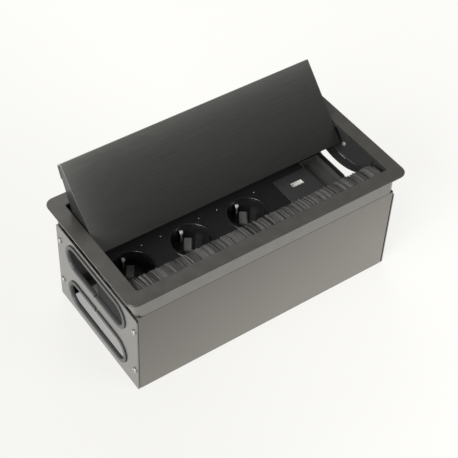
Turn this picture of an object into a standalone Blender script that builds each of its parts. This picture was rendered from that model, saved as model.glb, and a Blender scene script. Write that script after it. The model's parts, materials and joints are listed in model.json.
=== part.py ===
"""In-desk power module: a steel frame with a lift-up lid over three earthed sockets and a USB charger.

Metres, +Z up. The origin is the middle of the base, X runs along the long side and +Y to the back,
where the lid stands up. The lid is modelled closed, about its axis, and its parent empty opens it.
"""

import math

import bmesh
import bpy
from mathutils import Vector

MM = 0.001
CLEARANCE = 0.3 * MM
WELD_DISTANCE = 0.001 * MM
SHARP_ANGLE = 35.0

# Desk frame: a flat flange with a welded collar below it
FRAME_LENGTH = 300.0 * MM
FRAME_WIDTH = 149.2 * MM
FRAME_HEIGHT = 122.2 * MM
FRAME_SHEET = 1.8 * MM
FRAME_CORNER = 9.0 * MM
FRAME_EDGE = 0.7 * MM
LIMB_WIDTH = 14.3 * MM
OPENING_CORNER = 3.0 * MM
COLLAR_DEPTH = 23.6 * MM
COLLAR_INSET_X = 9.0 * MM
COLLAR_INSET_Y = 5.6 * MM
COLLAR_SHEET = 1.5 * MM
COLLAR_CORNER = 7.0 * MM

# Housing: front and back plates with folded ends, closed by two screwed end plates
HOUSING_SHEET = 1.2 * MM
HOUSING_SET_BACK = 0.5 * MM
HOUSING_BEND = 1.4 * MM
HOUSING_BEND_STEPS = 2
RETURN_WIDTH = 10.0 * MM
TONGUE_HEIGHT = 12.0 * MM
TONGUE_INSET = 8.5 * MM
TONGUE_STEP = 3.6 * MM
END_PLATE_DROP = 27.5 * MM
END_PLATE_CORNER = 3.0 * MM

# Cable ovals in the end plates and their rubber edging
OVAL_MARGIN = 20.25 * MM
OVAL_HEIGHT = 27.7 * MM
UPPER_OVAL_DROP = 48.8 * MM
LOWER_OVAL_DROP = 96.8 * MM
OVAL_SHIFT = 0.9 * MM
EDGING_OUT = 2.4 * MM
EDGING_IN = 1.6 * MM
EDGING_LIP = 1.0 * MM
EDGING_SPLIT = 2.0 * MM
EDGING_STEPS = 12

# End-plate screws
SCREW_INSET = 5.0 * MM
UPPER_SCREW_DROP = 45.8 * MM
LOWER_SCREW_DROP = 99.2 * MM
SCREW_RADIUS = 1.4 * MM
SCREW_LENGTH = 5.0 * MM
SCREW_HEAD_RADIUS = 3.0 * MM
SCREW_HEAD_HEIGHT = 1.9 * MM
PAN_FLAT = 0.55
PAN_RIM = 0.45
PAN_STEPS = 2
SCREW_STEPS = 16

# Lid: a folded aluminium skin on two steel cheeks with guide studs
LID_END_GAP = 1.3 * MM
LID_REAR_GAP = 7.3 * MM
LID_DEPTH = 85.5 * MM
LID_SHEET = 1.2 * MM
LID_SINK = 0.3 * MM
LID_HEM = 9.2 * MM
LID_HEM_CORNER = 1.2 * MM
LID_HEM_FOOT = 0.9 * MM
LID_LIP = 12.3 * MM
LID_LIP_DROP = 4.2 * MM
LID_AXIS_SET_BACK = 48.7 * MM
LID_AXIS_RISE = 37.1 * MM
LID_OPEN_ANGLE = 45.0
CHEEK_SHEET = 1.2 * MM
CHEEK_INSET = 0.3 * MM
CHEEK_FRONT = 1.0 * MM
CHEEK_EDGE_INSET = 0.1 * MM
CHEEK_LIP_CLEARANCE = 0.36 * MM
CHEEK_STEPS = 6
CHEEK_LEAD = 2.85
CHEEK_TAB_WIDTH = 8.0 * MM
CHEEK_TAB_INSET = 5.0 * MM
STUD_PATH = 69.9 * MM
STUD_RADIUS = 1.1 * MM
STUD_INSET = 1.9 * MM
STUD_SPREAD = 9.5
ARC_STEPS = 20

# Guides: a slotted wall at each end with a curved shelf below the slot
GUIDE_SHEET = 1.0 * MM
GUIDE_WALL_GAP = 0.6 * MM
GUIDE_LEDGE_REACH = 1.0 * MM
GUIDE_LEDGE_END = 2.3 * MM
GUIDE_STRIP = 4.0 * MM
GUIDE_SHELF_WIDTH = 7.0 * MM
GUIDE_SHELF_SHEET = 1.3 * MM
GUIDE_SHELF_SHIFT = (0.9 * MM, -7.4 * MM)
GUIDE_SHELF_OVERRUN = 2.2 * MM
GUIDE_NECK = 6.0 * MM
GUIDE_SCREW_SHIFT = -1.0 * MM
GUIDE_SCREW_DROP = 18.0 * MM
GUIDE_SCREW_HEAD_RADIUS = 2.2 * MM
GUIDE_SCREW_HEAD_HEIGHT = 1.1 * MM
GUIDE_SCREW_RADIUS = 1.2 * MM

# Brush along the front of the opening
BRUSH_END_GAP = 5.7 * MM
BRUSH_THICKNESS = 1.4 * MM
BRUSH_ROOT_DEPTH = 5.4 * MM
BRUSH_REACH = 19.6 * MM
BRUSH_FALL = 5.4 * MM
BRUSH_TUFTS = 46
BRUSH_TUFT_GAP = 0.35 * MM
BRUSH_TIP_INSET = 0.24 * MM
BRUSH_TIP_THINNING = 0.07 * MM
BRUSH_BAR_DEPTH = 5.2 * MM
BRUSH_BAR_THICKNESS = 2.5 * MM

# Carrier plate that holds the sockets and modules; the spare length of the box is shared by weight
CARRIER_DROP = 45.0 * MM
CARRIER_SHEET = 1.5 * MM
CARRIER_FLANGE = 14.0 * MM
CABLE_GAP_WEIGHT = 5.0
END_GAP_WEIGHT = 4.4
SOCKET_GAP_WEIGHT = 19.8
TERMINAL_ROOM = 21.6 * MM

# Earthed sockets
SOCKET_COUNT = 3
SOCKET_Y = -1.6 * MM
SOCKET_RIM_RADIUS = 21.6 * MM
SOCKET_RIM_HEIGHT = 0.8 * MM
SOCKET_WELL_RADIUS = 19.6 * MM
SOCKET_WELL_DEPTH = 17.5 * MM
SOCKET_WALL = 1.6 * MM
SOCKET_FLOOR = 16.0 * MM
SOCKET_STEPS = 40
PIN_PITCH = 19.0 * MM
PIN_HOLE_RADIUS = 2.7 * MM
PIN_STEPS = 16
SLEEVE_RADIUS = 3.3 * MM
SLEEVE_WALL = 0.7 * MM
SLEEVE_COVER = 3.0 * MM
RIB_WIDTH = 5.4 * MM
RIB_DEPTH = 1.4 * MM
RIB_TOP_DROP = 4.0 * MM
CLIP_WIDTH = 4.5 * MM
CLIP_SHEET = 0.6 * MM
CLIP_SLOT_WIDTH = 5.6 * MM
CLIP_SLOT_Y = 17.0 * MM
CLIP_TOP_DROP = 5.0 * MM
CLIP_TIP_Y = 19.0 * MM
CLIP_BEND_Y = 16.2 * MM
CLIP_BEND_DROP = 10.85 * MM
CLIP_LEG_Y = 18.2 * MM

# Live parts under the sockets, closed by a moulded cover
BAR_THICKNESS = 1.0 * MM
BAR_WIDTH = 14.0 * MM
BAR_SPACING = 3.0 * MM
BAR_END_MARGIN = 6.0 * MM
EARTH_BAR_WIDTH = 5.0 * MM
EARTH_BAR_Y = 13.5 * MM
COVER_WALL = 1.8 * MM
COVER_TERMINAL_MARGIN = 39.7 * MM
COVER_LOW_Y = -27.5 * MM
COVER_HIGH_Y = 24.5 * MM
COVER_DEPTH = 47.0 * MM
TERMINAL_LENGTH = 13.0 * MM
TERMINAL_WIDTH = 30.0 * MM
TERMINAL_HEIGHT = 18.0 * MM
TERMINAL_HOLE_RADIUS = 2.2 * MM
TERMINAL_HOLE_FLOOR = 6.0 * MM
TERMINAL_PITCH = 9.0 * MM
INLET_RADIUS = 5.0 * MM
INLET_DROP = 62.0 * MM
INLET_BEAD = 1.4 * MM

# USB charger module and blank module
USB_WIDTH = 38.6 * MM
USB_LOW_Y = -25.0 * MM
USB_HIGH_Y = 18.6 * MM
USB_FACE_HEIGHT = 0.9 * MM
USB_FACE_LAP = 1.3 * MM
USB_BODY_DEPTH = 28.0 * MM
USB_CORNER = 1.0 * MM
USB_CORNER_STEPS = 2
PORT_SHIFT = 0.2 * MM
PORT_Y = 4.6 * MM
PORT_WIDTH = 13.2 * MM
PORT_HEIGHT = 5.8 * MM
PORT_DEPTH = 11.5 * MM
PORT_SHELL = 0.4 * MM
TONGUE_SIZE = (10.8 * MM, 2.0 * MM, 8.5 * MM)
RELEASE_CENTRE_Y = -10.6 * MM
RELEASE_SIZE = (4.2 * MM, 1.3 * MM, 0.5 * MM)
BLANK_LOW_Y = -25.0 * MM
BLANK_HIGH_Y = 27.0 * MM
BLANK_WIDTH = 21.9 * MM
BLANK_END_MARGIN = 4.3 * MM
BLANK_GAP = 0.4 * MM
BLANK_RIM = 0.9 * MM
BLANK_POCKET = 5.5 * MM
BLANK_FLOOR = 1.4 * MM

OVERCUT = 1.0 * MM
CORNER_STEPS = 5

# Places that follow from the sizes
TOP = FRAME_HEIGHT
COLLAR_X = FRAME_LENGTH / 2 - COLLAR_INSET_X
COLLAR_Y = FRAME_WIDTH / 2 - COLLAR_INSET_Y
COLLAR_IN_X = COLLAR_X - COLLAR_SHEET
COLLAR_IN_Y = COLLAR_Y - COLLAR_SHEET
OPENING_X = FRAME_LENGTH / 2 - LIMB_WIDTH
OPENING_Y = FRAME_WIDTH / 2 - LIMB_WIDTH
UNDER_FRAME = TOP - FRAME_SHEET - CLEARANCE
PLATE_X = COLLAR_X - HOUSING_SET_BACK
PLATE_Y = COLLAR_Y
PLATE_IN_Y = PLATE_Y - HOUSING_SHEET
TONGUE_Y = COLLAR_IN_Y - CLEARANCE
END_IN_X = PLATE_X + CLEARANCE
END_OUT_X = END_IN_X + HOUSING_SHEET
PLATE_TOP = TOP - COLLAR_DEPTH - CLEARANCE
END_TOP = TOP - END_PLATE_DROP
OVAL_LENGTH = 2 * (COLLAR_Y - OVAL_MARGIN)
SCREW_Y = COLLAR_Y - SCREW_INSET
LID_HALF = OPENING_X - LID_END_GAP
LID_CLOSED_Y = OPENING_Y - LID_REAR_GAP
LID_AXIS_Y = LID_CLOSED_Y - LID_AXIS_SET_BACK
CHEEK_OUT_X = LID_HALF - CHEEK_INSET
GUIDE_OUT_X = COLLAR_IN_X - GUIDE_WALL_GAP
GUIDE_IN_X = GUIDE_OUT_X - GUIDE_SHEET
GUIDE_SCREW_Y = LID_AXIS_Y + GUIDE_SCREW_SHIFT
BRUSH_LENGTH = 2 * (OPENING_X - BRUSH_END_GAP)
CARRIER_TOP = TOP - CARRIER_DROP
CARRIER_UNDER = CARRIER_TOP - CARRIER_SHEET
WELL_FLOOR = CARRIER_TOP - SOCKET_WELL_DEPTH
SOCKET_BOTTOM = WELL_FLOOR - SOCKET_FLOOR
SOCKETS_LENGTH = SOCKET_COUNT * 2 * SOCKET_RIM_RADIUS + TERMINAL_ROOM
MODULES_LENGTH = USB_WIDTH + BLANK_GAP + BLANK_WIDTH + BLANK_END_MARGIN
WEIGHTS = 2 * CABLE_GAP_WEIGHT + END_GAP_WEIGHT + (SOCKET_COUNT - 1) * SOCKET_GAP_WEIGHT
SCREW_ROOM = SCREW_LENGTH + CLEARANCE
SHARE = (2 * (PLATE_X - SCREW_ROOM) - SOCKETS_LENGTH - MODULES_LENGTH) / WEIGHTS
CARRIER_X = PLATE_X - SCREW_ROOM - CABLE_GAP_WEIGHT * SHARE
BLANK_HIGH_X = CARRIER_X - BLANK_END_MARGIN
BLANK_LOW_X = BLANK_HIGH_X - BLANK_WIDTH
USB_HIGH = (BLANK_LOW_X - BLANK_GAP, USB_HIGH_Y)
USB_LOW = (USB_HIGH[0] - USB_WIDTH, USB_LOW_Y)
PORT_CENTRE = ((USB_LOW[0] + USB_HIGH[0]) / 2 + PORT_SHIFT, PORT_Y)
FIRST_SOCKET_X = SOCKET_RIM_RADIUS + END_GAP_WEIGHT * SHARE - CARRIER_X
SOCKET_PITCH = 2 * SOCKET_RIM_RADIUS + SOCKET_GAP_WEIGHT * SHARE
SOCKET_X = [FIRST_SOCKET_X + number * SOCKET_PITCH for number in range(SOCKET_COUNT)]
COVER_LOW_X = SOCKET_X[0] - SOCKET_WELL_RADIUS - SOCKET_WALL - CLEARANCE - COVER_WALL
COVER_HIGH_X = SOCKET_X[-1] + COVER_TERMINAL_MARGIN

FINISHES = {
    "frame_paint": ((0.055, 0.056, 0.052), 0.42, 0.3),
    "housing_paint": ((0.12, 0.118, 0.112), 0.38, 0.3),
    "brushed_lid": ((0.045, 0.046, 0.043), 0.4, 0.6),
    "guide_paint": ((0.03, 0.031, 0.03), 0.35, 0.3),
    "rubber": ((0.03, 0.031, 0.032), 0.6, 0.0),
    "bright_steel": ((0.75, 0.74, 0.72), 0.25, 1.0),
    "black_plastic": ((0.008, 0.008, 0.009), 0.22, 0.0),
    "grey_plastic": ((0.025, 0.026, 0.026), 0.4, 0.0),
    "cover_plastic": ((0.02, 0.02, 0.021), 0.5, 0.0),
    "brass": ((0.7, 0.52, 0.22), 0.3, 1.0),
    "bristle": ((0.05, 0.05, 0.049), 0.75, 0.0),
    "white_plastic": ((0.85, 0.85, 0.83), 0.4, 0.0),
}


def clear_scene():
    """Empty the file of objects."""
    for item in list(bpy.data.objects):
        bpy.data.objects.remove(item, do_unlink=True)


def make_material(name, finish):
    """A Principled material of one of the finishes."""
    colour, roughness, metallic = FINISHES[finish]
    material = bpy.data.materials.new(name)
    material.use_nodes = True
    shader = material.node_tree.nodes["Principled BSDF"]
    shader.inputs["Base Color"].default_value = (*colour, 1.0)
    shader.inputs["Roughness"].default_value = roughness
    shader.inputs["Metallic"].default_value = metallic
    return material


def link_mesh(name, mesh, parent):
    """Put a bmesh into the scene as an object under its parent."""
    data = bpy.data.meshes.new(name)
    mesh.to_mesh(data)
    mesh.free()
    item = bpy.data.objects.new(name, data)
    item.parent = parent
    bpy.context.scene.collection.objects.link(item)
    return item


def add_boolean(item, tool_mesh, operation, label, parent):
    """Join or cut with another closed shape, which stays in the file as a wire guide."""
    tool = link_mesh(f"{item.name}_{label}", tool_mesh, parent)
    tool.hide_render = True
    tool.display_type = "WIRE"
    modifier = item.modifiers.new(label, "BOOLEAN")
    modifier.operation = operation
    modifier.solver = "EXACT"
    modifier.object = tool


def make_part(name, mesh, finish, joins=(), cuts=(), parent=None, smooth=False):
    """One named piece with its own material, its joined shapes and its cuts."""
    item = link_mesh(name, mesh, parent)
    item.data.materials.append(make_material(f"{name}_{finish}", finish))
    if smooth:
        item.data.shade_smooth()
        item.data.set_sharp_from_angle(angle=math.radians(SHARP_ANGLE))
    for number, tool in enumerate(joins):
        add_boolean(item, tool, "UNION", f"join_{number}", parent)
    for number, tool in enumerate(cuts):
        add_boolean(item, tool, "DIFFERENCE", f"cut_{number}", parent)
    return item


def on_axis(axis, first, second, height):
    """A point from its two coordinates across an axis and its height along it."""
    if axis == "X":
        return Vector((height, first, second))
    if axis == "Y":
        return Vector((first, height, second))
    return Vector((first, second, height))


def arc(centre, radius, start, end, steps):
    """Points along an arc, both ends included; angles in degrees."""
    points = []
    for step in range(steps + 1):
        angle = math.radians(start + (end - start) * step / steps)
        points.append((centre[0] + radius * math.cos(angle), centre[1] + radius * math.sin(angle)))
    return points


def rounded_rectangle(low, high, radius, steps=CORNER_STEPS):
    """Outline of a rectangle with round corners."""
    points = []
    points += arc((high[0] - radius, low[1] + radius), radius, -90.0, 0.0, steps)
    points += arc((high[0] - radius, high[1] - radius), radius, 0.0, 90.0, steps)
    points += arc((low[0] + radius, high[1] - radius), radius, 90.0, 180.0, steps)
    points += arc((low[0] + radius, low[1] + radius), radius, 180.0, 270.0, steps)
    return points


def rectangle(low, high):
    """Outline of a plain rectangle."""
    return [(low[0], low[1]), (high[0], low[1]), (high[0], high[1]), (low[0], high[1])]


def stadium(centre, length, height, steps=EDGING_STEPS):
    """Outline of a slot with round ends, long in its first coordinate."""
    radius = height / 2
    half = length / 2 - radius
    points = arc((centre[0] + half, centre[1]), radius, -90.0, 90.0, steps)
    points += arc((centre[0] - half, centre[1]), radius, 90.0, 270.0, steps)
    return points


def folded_sheet(line, sheet):
    """Outline of a sheet that is folded along a line, with its thickness on the line's left."""
    inner = []
    for index, point in enumerate(line):
        here = Vector(point)
        before = (here - Vector(line[index - 1])).normalized() if index > 0 else None
        after = (Vector(line[index + 1]) - here).normalized() if index < len(line) - 1 else None
        before = before if before is not None else after
        after = after if after is not None else before
        left = Vector((-before.y, before.x)) + Vector((-after.y, after.x))
        left.normalize()
        square = Vector((-before.y, before.x))
        inner.append(tuple(here + left * (sheet / left.dot(square))))
    return list(line) + inner[::-1]


def prism(outline, axis, low, high):
    """A closed solid: an outline across an axis, drawn out along that axis."""
    mesh = bmesh.new()
    corners = [mesh.verts.new(on_axis(axis, first, second, low)) for first, second in outline]
    face = mesh.faces.new(corners)
    drawn = bmesh.ops.extrude_face_region(mesh, geom=[face])
    moved = [part for part in drawn["geom"] if isinstance(part, bmesh.types.BMVert)]
    bmesh.ops.translate(mesh, verts=moved, vec=on_axis(axis, 0.0, 0.0, high - low))
    bmesh.ops.recalc_face_normals(mesh, faces=mesh.faces)
    return mesh


def whole(face):
    """A face with its edges and corners, so that drawing it on leaves nothing inside."""
    return [face, *face.edges, *face.verts]


def last_face(geometry):
    """The face among a drawn piece of geometry."""
    return [part for part in geometry if isinstance(part, bmesh.types.BMFace)][0]


def block(low, high):
    """A plain box between two corners."""
    return prism(rectangle(low[:2], high[:2]), "Z", low[2], high[2])


def turned(profile, centre, axis, steps, closed=False):
    """A solid of revolution from radius and height pairs about an axis through a centre."""
    mesh = bmesh.new()
    points = []
    for radius, height in profile:
        points.append(mesh.verts.new(Vector(centre) + on_axis(axis, radius, 0.0, height)))
    edges = [mesh.edges.new(pair) for pair in zip(points, points[1:])]
    if closed:
        edges.append(mesh.edges.new((points[-1], points[0])))
    bmesh.ops.spin(
        mesh,
        geom=points + edges,
        cent=centre,
        axis=on_axis(axis, 0.0, 0.0, 1.0),
        angle=math.tau,
        steps=steps,
        use_merge=True,
    )
    bmesh.ops.remove_doubles(mesh, verts=mesh.verts, dist=WELD_DISTANCE)
    bmesh.ops.recalc_face_normals(mesh, faces=mesh.faces)
    return mesh


def rod(centre, axis, radius, length, steps):
    """A plain round rod that starts at a centre."""
    return turned([(0.0, 0.0), (radius, 0.0), (radius, length), (0.0, length)], centre, axis, steps)


def sided(side, near, far):
    """The low and high X of a stretch given for the right-hand side."""
    return min(side * near, side * far), max(side * near, side * far)


def bevel_flat_edges(mesh, height, width):
    """Soften the edges that lie at one height."""
    level = [vert for vert in mesh.verts if abs(vert.co.z - height) < WELD_DISTANCE]
    edges = [edge for edge in mesh.edges if all(vert in level for vert in edge.verts)]
    bmesh.ops.bevel(mesh, geom=edges, offset=width, segments=2, affect="EDGES")


def build_frame():
    """Flange and collar in one piece, open over the sockets."""
    flange_low = (-FRAME_LENGTH / 2, -FRAME_WIDTH / 2)
    flange_high = (FRAME_LENGTH / 2, FRAME_WIDTH / 2)
    flange = prism(rounded_rectangle(flange_low, flange_high, FRAME_CORNER), "Z", TOP - FRAME_SHEET, TOP)
    bevel_flat_edges(flange, TOP, FRAME_EDGE)
    collar = prism(
        rounded_rectangle((-COLLAR_X, -COLLAR_Y), (COLLAR_X, COLLAR_Y), COLLAR_CORNER),
        "Z",
        TOP - COLLAR_DEPTH,
        TOP - FRAME_SHEET / 2,
    )
    hollow = prism(
        rounded_rectangle(
            (-COLLAR_IN_X, -COLLAR_IN_Y), (COLLAR_IN_X, COLLAR_IN_Y), COLLAR_CORNER - COLLAR_SHEET
        ),
        "Z",
        TOP - COLLAR_DEPTH - OVERCUT,
        TOP - FRAME_SHEET,
    )
    opening = prism(
        rounded_rectangle((-OPENING_X, -OPENING_Y), (OPENING_X, OPENING_Y), OPENING_CORNER),
        "Z",
        TOP - FRAME_SHEET - OVERCUT,
        TOP + OVERCUT,
    )
    screw_holes = rod(
        (-COLLAR_X - OVERCUT, GUIDE_SCREW_Y, TOP - GUIDE_SCREW_DROP),
        "X",
        GUIDE_SCREW_RADIUS + CLEARANCE,
        2 * (COLLAR_X + OVERCUT),
        SCREW_STEPS,
    )
    make_part("top_frame", flange, "frame_paint", joins=[collar], cuts=[hollow, opening, screw_holes])


def build_long_plate(name, side):
    """Front or back plate: a folded sheet flush with the collar, with returns and a stepped tongue."""
    centre = (PLATE_X - HOUSING_BEND, PLATE_Y - HOUSING_BEND)
    bend = arc(centre, HOUSING_BEND, 0.0, 90.0, HOUSING_BEND_STEPS)
    half = [(PLATE_X, PLATE_Y - RETURN_WIDTH), *bend]
    line = [(x, side * y) for x, y in half]
    line += [(-x, side * y) for x, y in half[::-1]]
    if side < 0:
        line = line[::-1]
    wall = prism(folded_sheet(line, HOUSING_SHEET), "Z", 0.0, PLATE_TOP)
    foot_y = sorted((side * (PLATE_Y - HOUSING_SHEET / 2), side * (PLATE_Y - RETURN_WIDTH)))
    foot_x = PLATE_X - HOUSING_SHEET / 2
    foot = block((-foot_x, foot_y[0], 0.0), (foot_x, foot_y[1], HOUSING_SHEET))
    wall_y = side * (PLATE_Y - HOUSING_SHEET / 2)
    inner_y = side * (TONGUE_Y - HOUSING_SHEET)
    tongue_x = PLATE_X - TONGUE_INSET
    tongue_outline = [
        (wall_y, PLATE_TOP - TONGUE_STEP),
        (wall_y, PLATE_TOP - CLEARANCE),
        (side * TONGUE_Y, PLATE_TOP - CLEARANCE),
        (side * TONGUE_Y, PLATE_TOP + TONGUE_HEIGHT),
        (inner_y, PLATE_TOP + TONGUE_HEIGHT),
        (inner_y, PLATE_TOP - HOUSING_SHEET),
    ]
    tongue = prism(tongue_outline, "X", -tongue_x, tongue_x)
    holes = []
    for drop in (UPPER_SCREW_DROP, LOWER_SCREW_DROP):
        holes.append(
            rod(
                (-PLATE_X - OVERCUT, side * SCREW_Y, TOP - drop),
                "X",
                SCREW_RADIUS + CLEARANCE,
                2 * (PLATE_X + OVERCUT),
                SCREW_STEPS,
            )
        )
    make_part(name, wall, "housing_paint", joins=[foot, tongue], cuts=holes)


def build_end_plate(name, side):
    """End plate with two cable ovals and four screw holes."""
    low_x, high_x = sided(side, END_IN_X, END_OUT_X)
    corner = (COLLAR_Y - END_PLATE_CORNER, END_TOP - END_PLATE_CORNER)
    outline = [(-COLLAR_Y, 0.0), (COLLAR_Y, 0.0)]
    outline += arc(corner, END_PLATE_CORNER, 0.0, 90.0, CORNER_STEPS)
    outline += arc((-corner[0], corner[1]), END_PLATE_CORNER, 90.0, 180.0, CORNER_STEPS)
    plate = prism(outline, "X", low_x, high_x)
    hole_length = high_x - low_x + 2 * OVERCUT
    cuts = []
    for drop in (UPPER_OVAL_DROP, LOWER_OVAL_DROP):
        oval = stadium((OVAL_SHIFT, TOP - drop), OVAL_LENGTH, OVAL_HEIGHT)
        cuts.append(prism(oval, "X", low_x - OVERCUT, high_x + OVERCUT))
    for drop in (UPPER_SCREW_DROP, LOWER_SCREW_DROP):
        for y in (-SCREW_Y, SCREW_Y):
            start = (low_x - OVERCUT, y, TOP - drop)
            cuts.append(rod(start, "X", SCREW_RADIUS + CLEARANCE, hole_length, SCREW_STEPS))
    make_part(name, plate, "housing_paint", cuts=cuts)


def build_edging(name, side, drop, split_below):
    """Rubber strip pushed over the edge of an oval, with a small gap where its ends meet."""
    mid_x = side * (END_IN_X + END_OUT_X) / 2
    groove = HOUSING_SHEET / 2 + CLEARANCE
    outer = groove + EDGING_LIP
    section = [
        (EDGING_OUT, groove),
        (EDGING_OUT, outer - EDGING_LIP / 3),
        (EDGING_OUT - EDGING_LIP / 2, outer),
        (-EDGING_IN + EDGING_LIP / 2, outer),
        (-EDGING_IN, groove),
        (-EDGING_IN, -groove),
        (-EDGING_IN + EDGING_LIP / 2, -outer),
        (EDGING_OUT - EDGING_LIP / 2, -outer),
        (EDGING_OUT, -outer + EDGING_LIP / 3),
        (EDGING_OUT, -groove),
        (-CLEARANCE, -groove),
        (-CLEARANCE, groove),
    ]
    radius = OVAL_HEIGHT / 2
    half = OVAL_LENGTH / 2 - radius
    centre_z = TOP - drop
    down = -1.0 if split_below else 1.0
    start = OVAL_SHIFT + down * -EDGING_SPLIT / 2
    mesh = bmesh.new()
    corners = []
    for out, through in section:
        corners.append(mesh.verts.new((mid_x + through, start, centre_z + down * (radius + out))))
    end_face = mesh.faces.new(corners)

    def draw(face, distance):
        """Carry the strip's end face straight on."""
        drawn = bmesh.ops.extrude_face_region(mesh, geom=whole(face))["geom"]
        verts = [part for part in drawn if isinstance(part, bmesh.types.BMVert)]
        bmesh.ops.translate(mesh, verts=verts, vec=(0.0, distance, 0.0))
        return last_face(drawn)

    def turn(face, y):
        """Carry the strip's end face round one end of the oval."""
        spun = bmesh.ops.spin(
            mesh,
            geom=whole(face),
            cent=(mid_x, y, centre_z),
            axis=(1.0, 0.0, 0.0),
            angle=math.pi,
            steps=EDGING_STEPS,
        )
        return last_face(spun["geom_last"])

    first_end = OVAL_SHIFT - down * half
    last_end = OVAL_SHIFT + down * half
    end_face = draw(end_face, first_end - start)
    end_face = turn(end_face, first_end)
    end_face = draw(end_face, last_end - first_end)
    end_face = turn(end_face, last_end)
    draw(end_face, OVAL_SHIFT + down * EDGING_SPLIT / 2 - last_end)
    bmesh.ops.remove_doubles(mesh, verts=mesh.verts, dist=WELD_DISTANCE)
    bmesh.ops.recalc_face_normals(mesh, faces=mesh.faces)
    make_part(name, mesh, "rubber", smooth=True)


def pan_screw(name, face, axis_sign, y, z, head_radius, head_height, radius, length):
    """Pan-head screw along X: its head sits on a face and its shank runs the other way."""
    flat = head_radius * PAN_FLAT
    rim = head_height * PAN_RIM
    profile = [(0.0, head_height)]
    for along, up in arc((0.0, 0.0), 1.0, 90.0, 0.0, PAN_STEPS):
        profile.append((flat + along * (head_radius - flat), rim + up * (head_height - rim)))
    profile += [(head_radius, CLEARANCE), (radius, CLEARANCE), (radius, -length), (0.0, -length)]
    profile = [(across, axis_sign * height) for across, height in profile]
    make_part(name, turned(profile, (face, y, z), "X", SCREW_STEPS), "bright_steel", smooth=True)


def build_end_screws(label, side):
    """The four screws of one end plate."""
    number = 0
    for drop in (UPPER_SCREW_DROP, LOWER_SCREW_DROP):
        for y in (-SCREW_Y, SCREW_Y):
            number += 1
            pan_screw(
                f"end_screw_{label}_{number}",
                side * END_OUT_X,
                side,
                y,
                TOP - drop,
                SCREW_HEAD_RADIUS,
                SCREW_HEAD_HEIGHT,
                SCREW_RADIUS,
                SCREW_LENGTH,
            )


def stud_angles():
    """Front and rear stud of a closed lid, about its axis; the front one sits near the cheek's end."""
    front_y = LID_AXIS_SET_BACK - LID_DEPTH + CHEEK_FRONT + STUD_INSET
    front = -math.degrees(math.acos(front_y / STUD_PATH))
    return front, front + STUD_SPREAD


def shelf_radius():
    """Radius of the shelf's upper face, which clears the studs where they come closest at the front."""
    lowest = STUD_PATH + STUD_RADIUS + CLEARANCE
    front = math.radians(stud_angles()[0])
    shift = GUIDE_SHELF_SHIFT[0] * math.cos(front) + GUIDE_SHELF_SHIFT[1] * math.sin(front)
    return lowest - shift


def below(centre, radius, y):
    """Height of the lower half of a circle at a given Y."""
    return centre[1] - math.sqrt(radius**2 - (y - centre[0]) ** 2)


def hanging_arc(centre, radius, start, end, steps=ARC_STEPS):
    """Points on the lower half of a circle between two Y values."""
    points = []
    for step in range(steps + 1):
        y = start + (end - start) * step / steps
        points.append((y, below(centre, radius, y)))
    return points


def build_guide(label, side):
    """Slotted end wall with its ledge under the flange and its curved shelf."""
    axis = (LID_AXIS_Y, TOP + LID_AXIS_RISE)
    shelf_centre = (axis[0] + GUIDE_SHELF_SHIFT[0], axis[1] + GUIDE_SHELF_SHIFT[1])
    radius = shelf_radius()
    play = STUD_RADIUS + CLEARANCE
    front, rear = stud_angles()
    slot_start = axis[0] + STUD_PATH * math.cos(math.radians(front)) - play
    slot_end = axis[0] + STUD_PATH * math.cos(math.radians(rear + LID_OPEN_ANGLE)) + play
    start = slot_start - GUIDE_SHELF_OVERRUN
    end = slot_end + GUIDE_SHELF_OVERRUN
    ledge_end = OPENING_Y - GUIDE_LEDGE_END
    strip_low = UNDER_FRAME - GUIDE_STRIP
    outline = [(-ledge_end, UNDER_FRAME), (-ledge_end, strip_low), (start - GUIDE_NECK, strip_low)]
    outline += hanging_arc(shelf_centre, radius + GUIDE_SHELF_SHEET, start, end)
    outline += [(end + GUIDE_NECK, strip_low), (ledge_end, strip_low), (ledge_end, UNDER_FRAME)]
    wall = prism(outline, "X", *sided(side, GUIDE_IN_X, GUIDE_OUT_X))
    ledge_x = sided(side, OPENING_X - GUIDE_LEDGE_REACH, GUIDE_OUT_X - GUIDE_SHEET / 2)
    ledge = block(
        (ledge_x[0], -ledge_end, UNDER_FRAME - GUIDE_SHEET),
        (ledge_x[1], ledge_end, UNDER_FRAME),
    )
    shelf_outline = hanging_arc(shelf_centre, radius, start, end)
    shelf_outline += hanging_arc(shelf_centre, radius + GUIDE_SHELF_SHEET, end, start)
    shelf_x = sided(side, GUIDE_IN_X - GUIDE_SHELF_WIDTH, GUIDE_OUT_X - GUIDE_SHEET / 2)
    shelf = prism(shelf_outline, "X", *shelf_x)
    slot_outline = hanging_arc(axis, STUD_PATH - play, slot_start, slot_end)
    slot_outline += hanging_arc(shelf_centre, radius, slot_end, slot_start)
    cut_x = sided(side, GUIDE_IN_X - OVERCUT, GUIDE_OUT_X + OVERCUT)
    slot = prism(slot_outline, "X", *cut_x)
    hole_start = (cut_x[0], GUIDE_SCREW_Y, TOP - GUIDE_SCREW_DROP)
    hole = rod(hole_start, "X", GUIDE_SCREW_RADIUS + CLEARANCE, cut_x[1] - cut_x[0], SCREW_STEPS)
    make_part(f"lid_guide_{label}", wall, "guide_paint", joins=[ledge, shelf], cuts=[slot, hole])
    pan_screw(
        f"guide_screw_{label}",
        side * GUIDE_IN_X,
        -side,
        GUIDE_SCREW_Y,
        TOP - GUIDE_SCREW_DROP,
        GUIDE_SCREW_HEAD_RADIUS,
        GUIDE_SCREW_HEAD_HEIGHT,
        GUIDE_SCREW_RADIUS,
        GUIDE_SHEET + GUIDE_WALL_GAP + COLLAR_SHEET,
    )


def lid_point(along, below_skin):
    """A place on the closed lid, from its rear edge and its upper face, about the lid's axis."""
    return (LID_CLOSED_Y - along - LID_AXIS_Y, -LID_SINK - below_skin - LID_AXIS_RISE)


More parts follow.
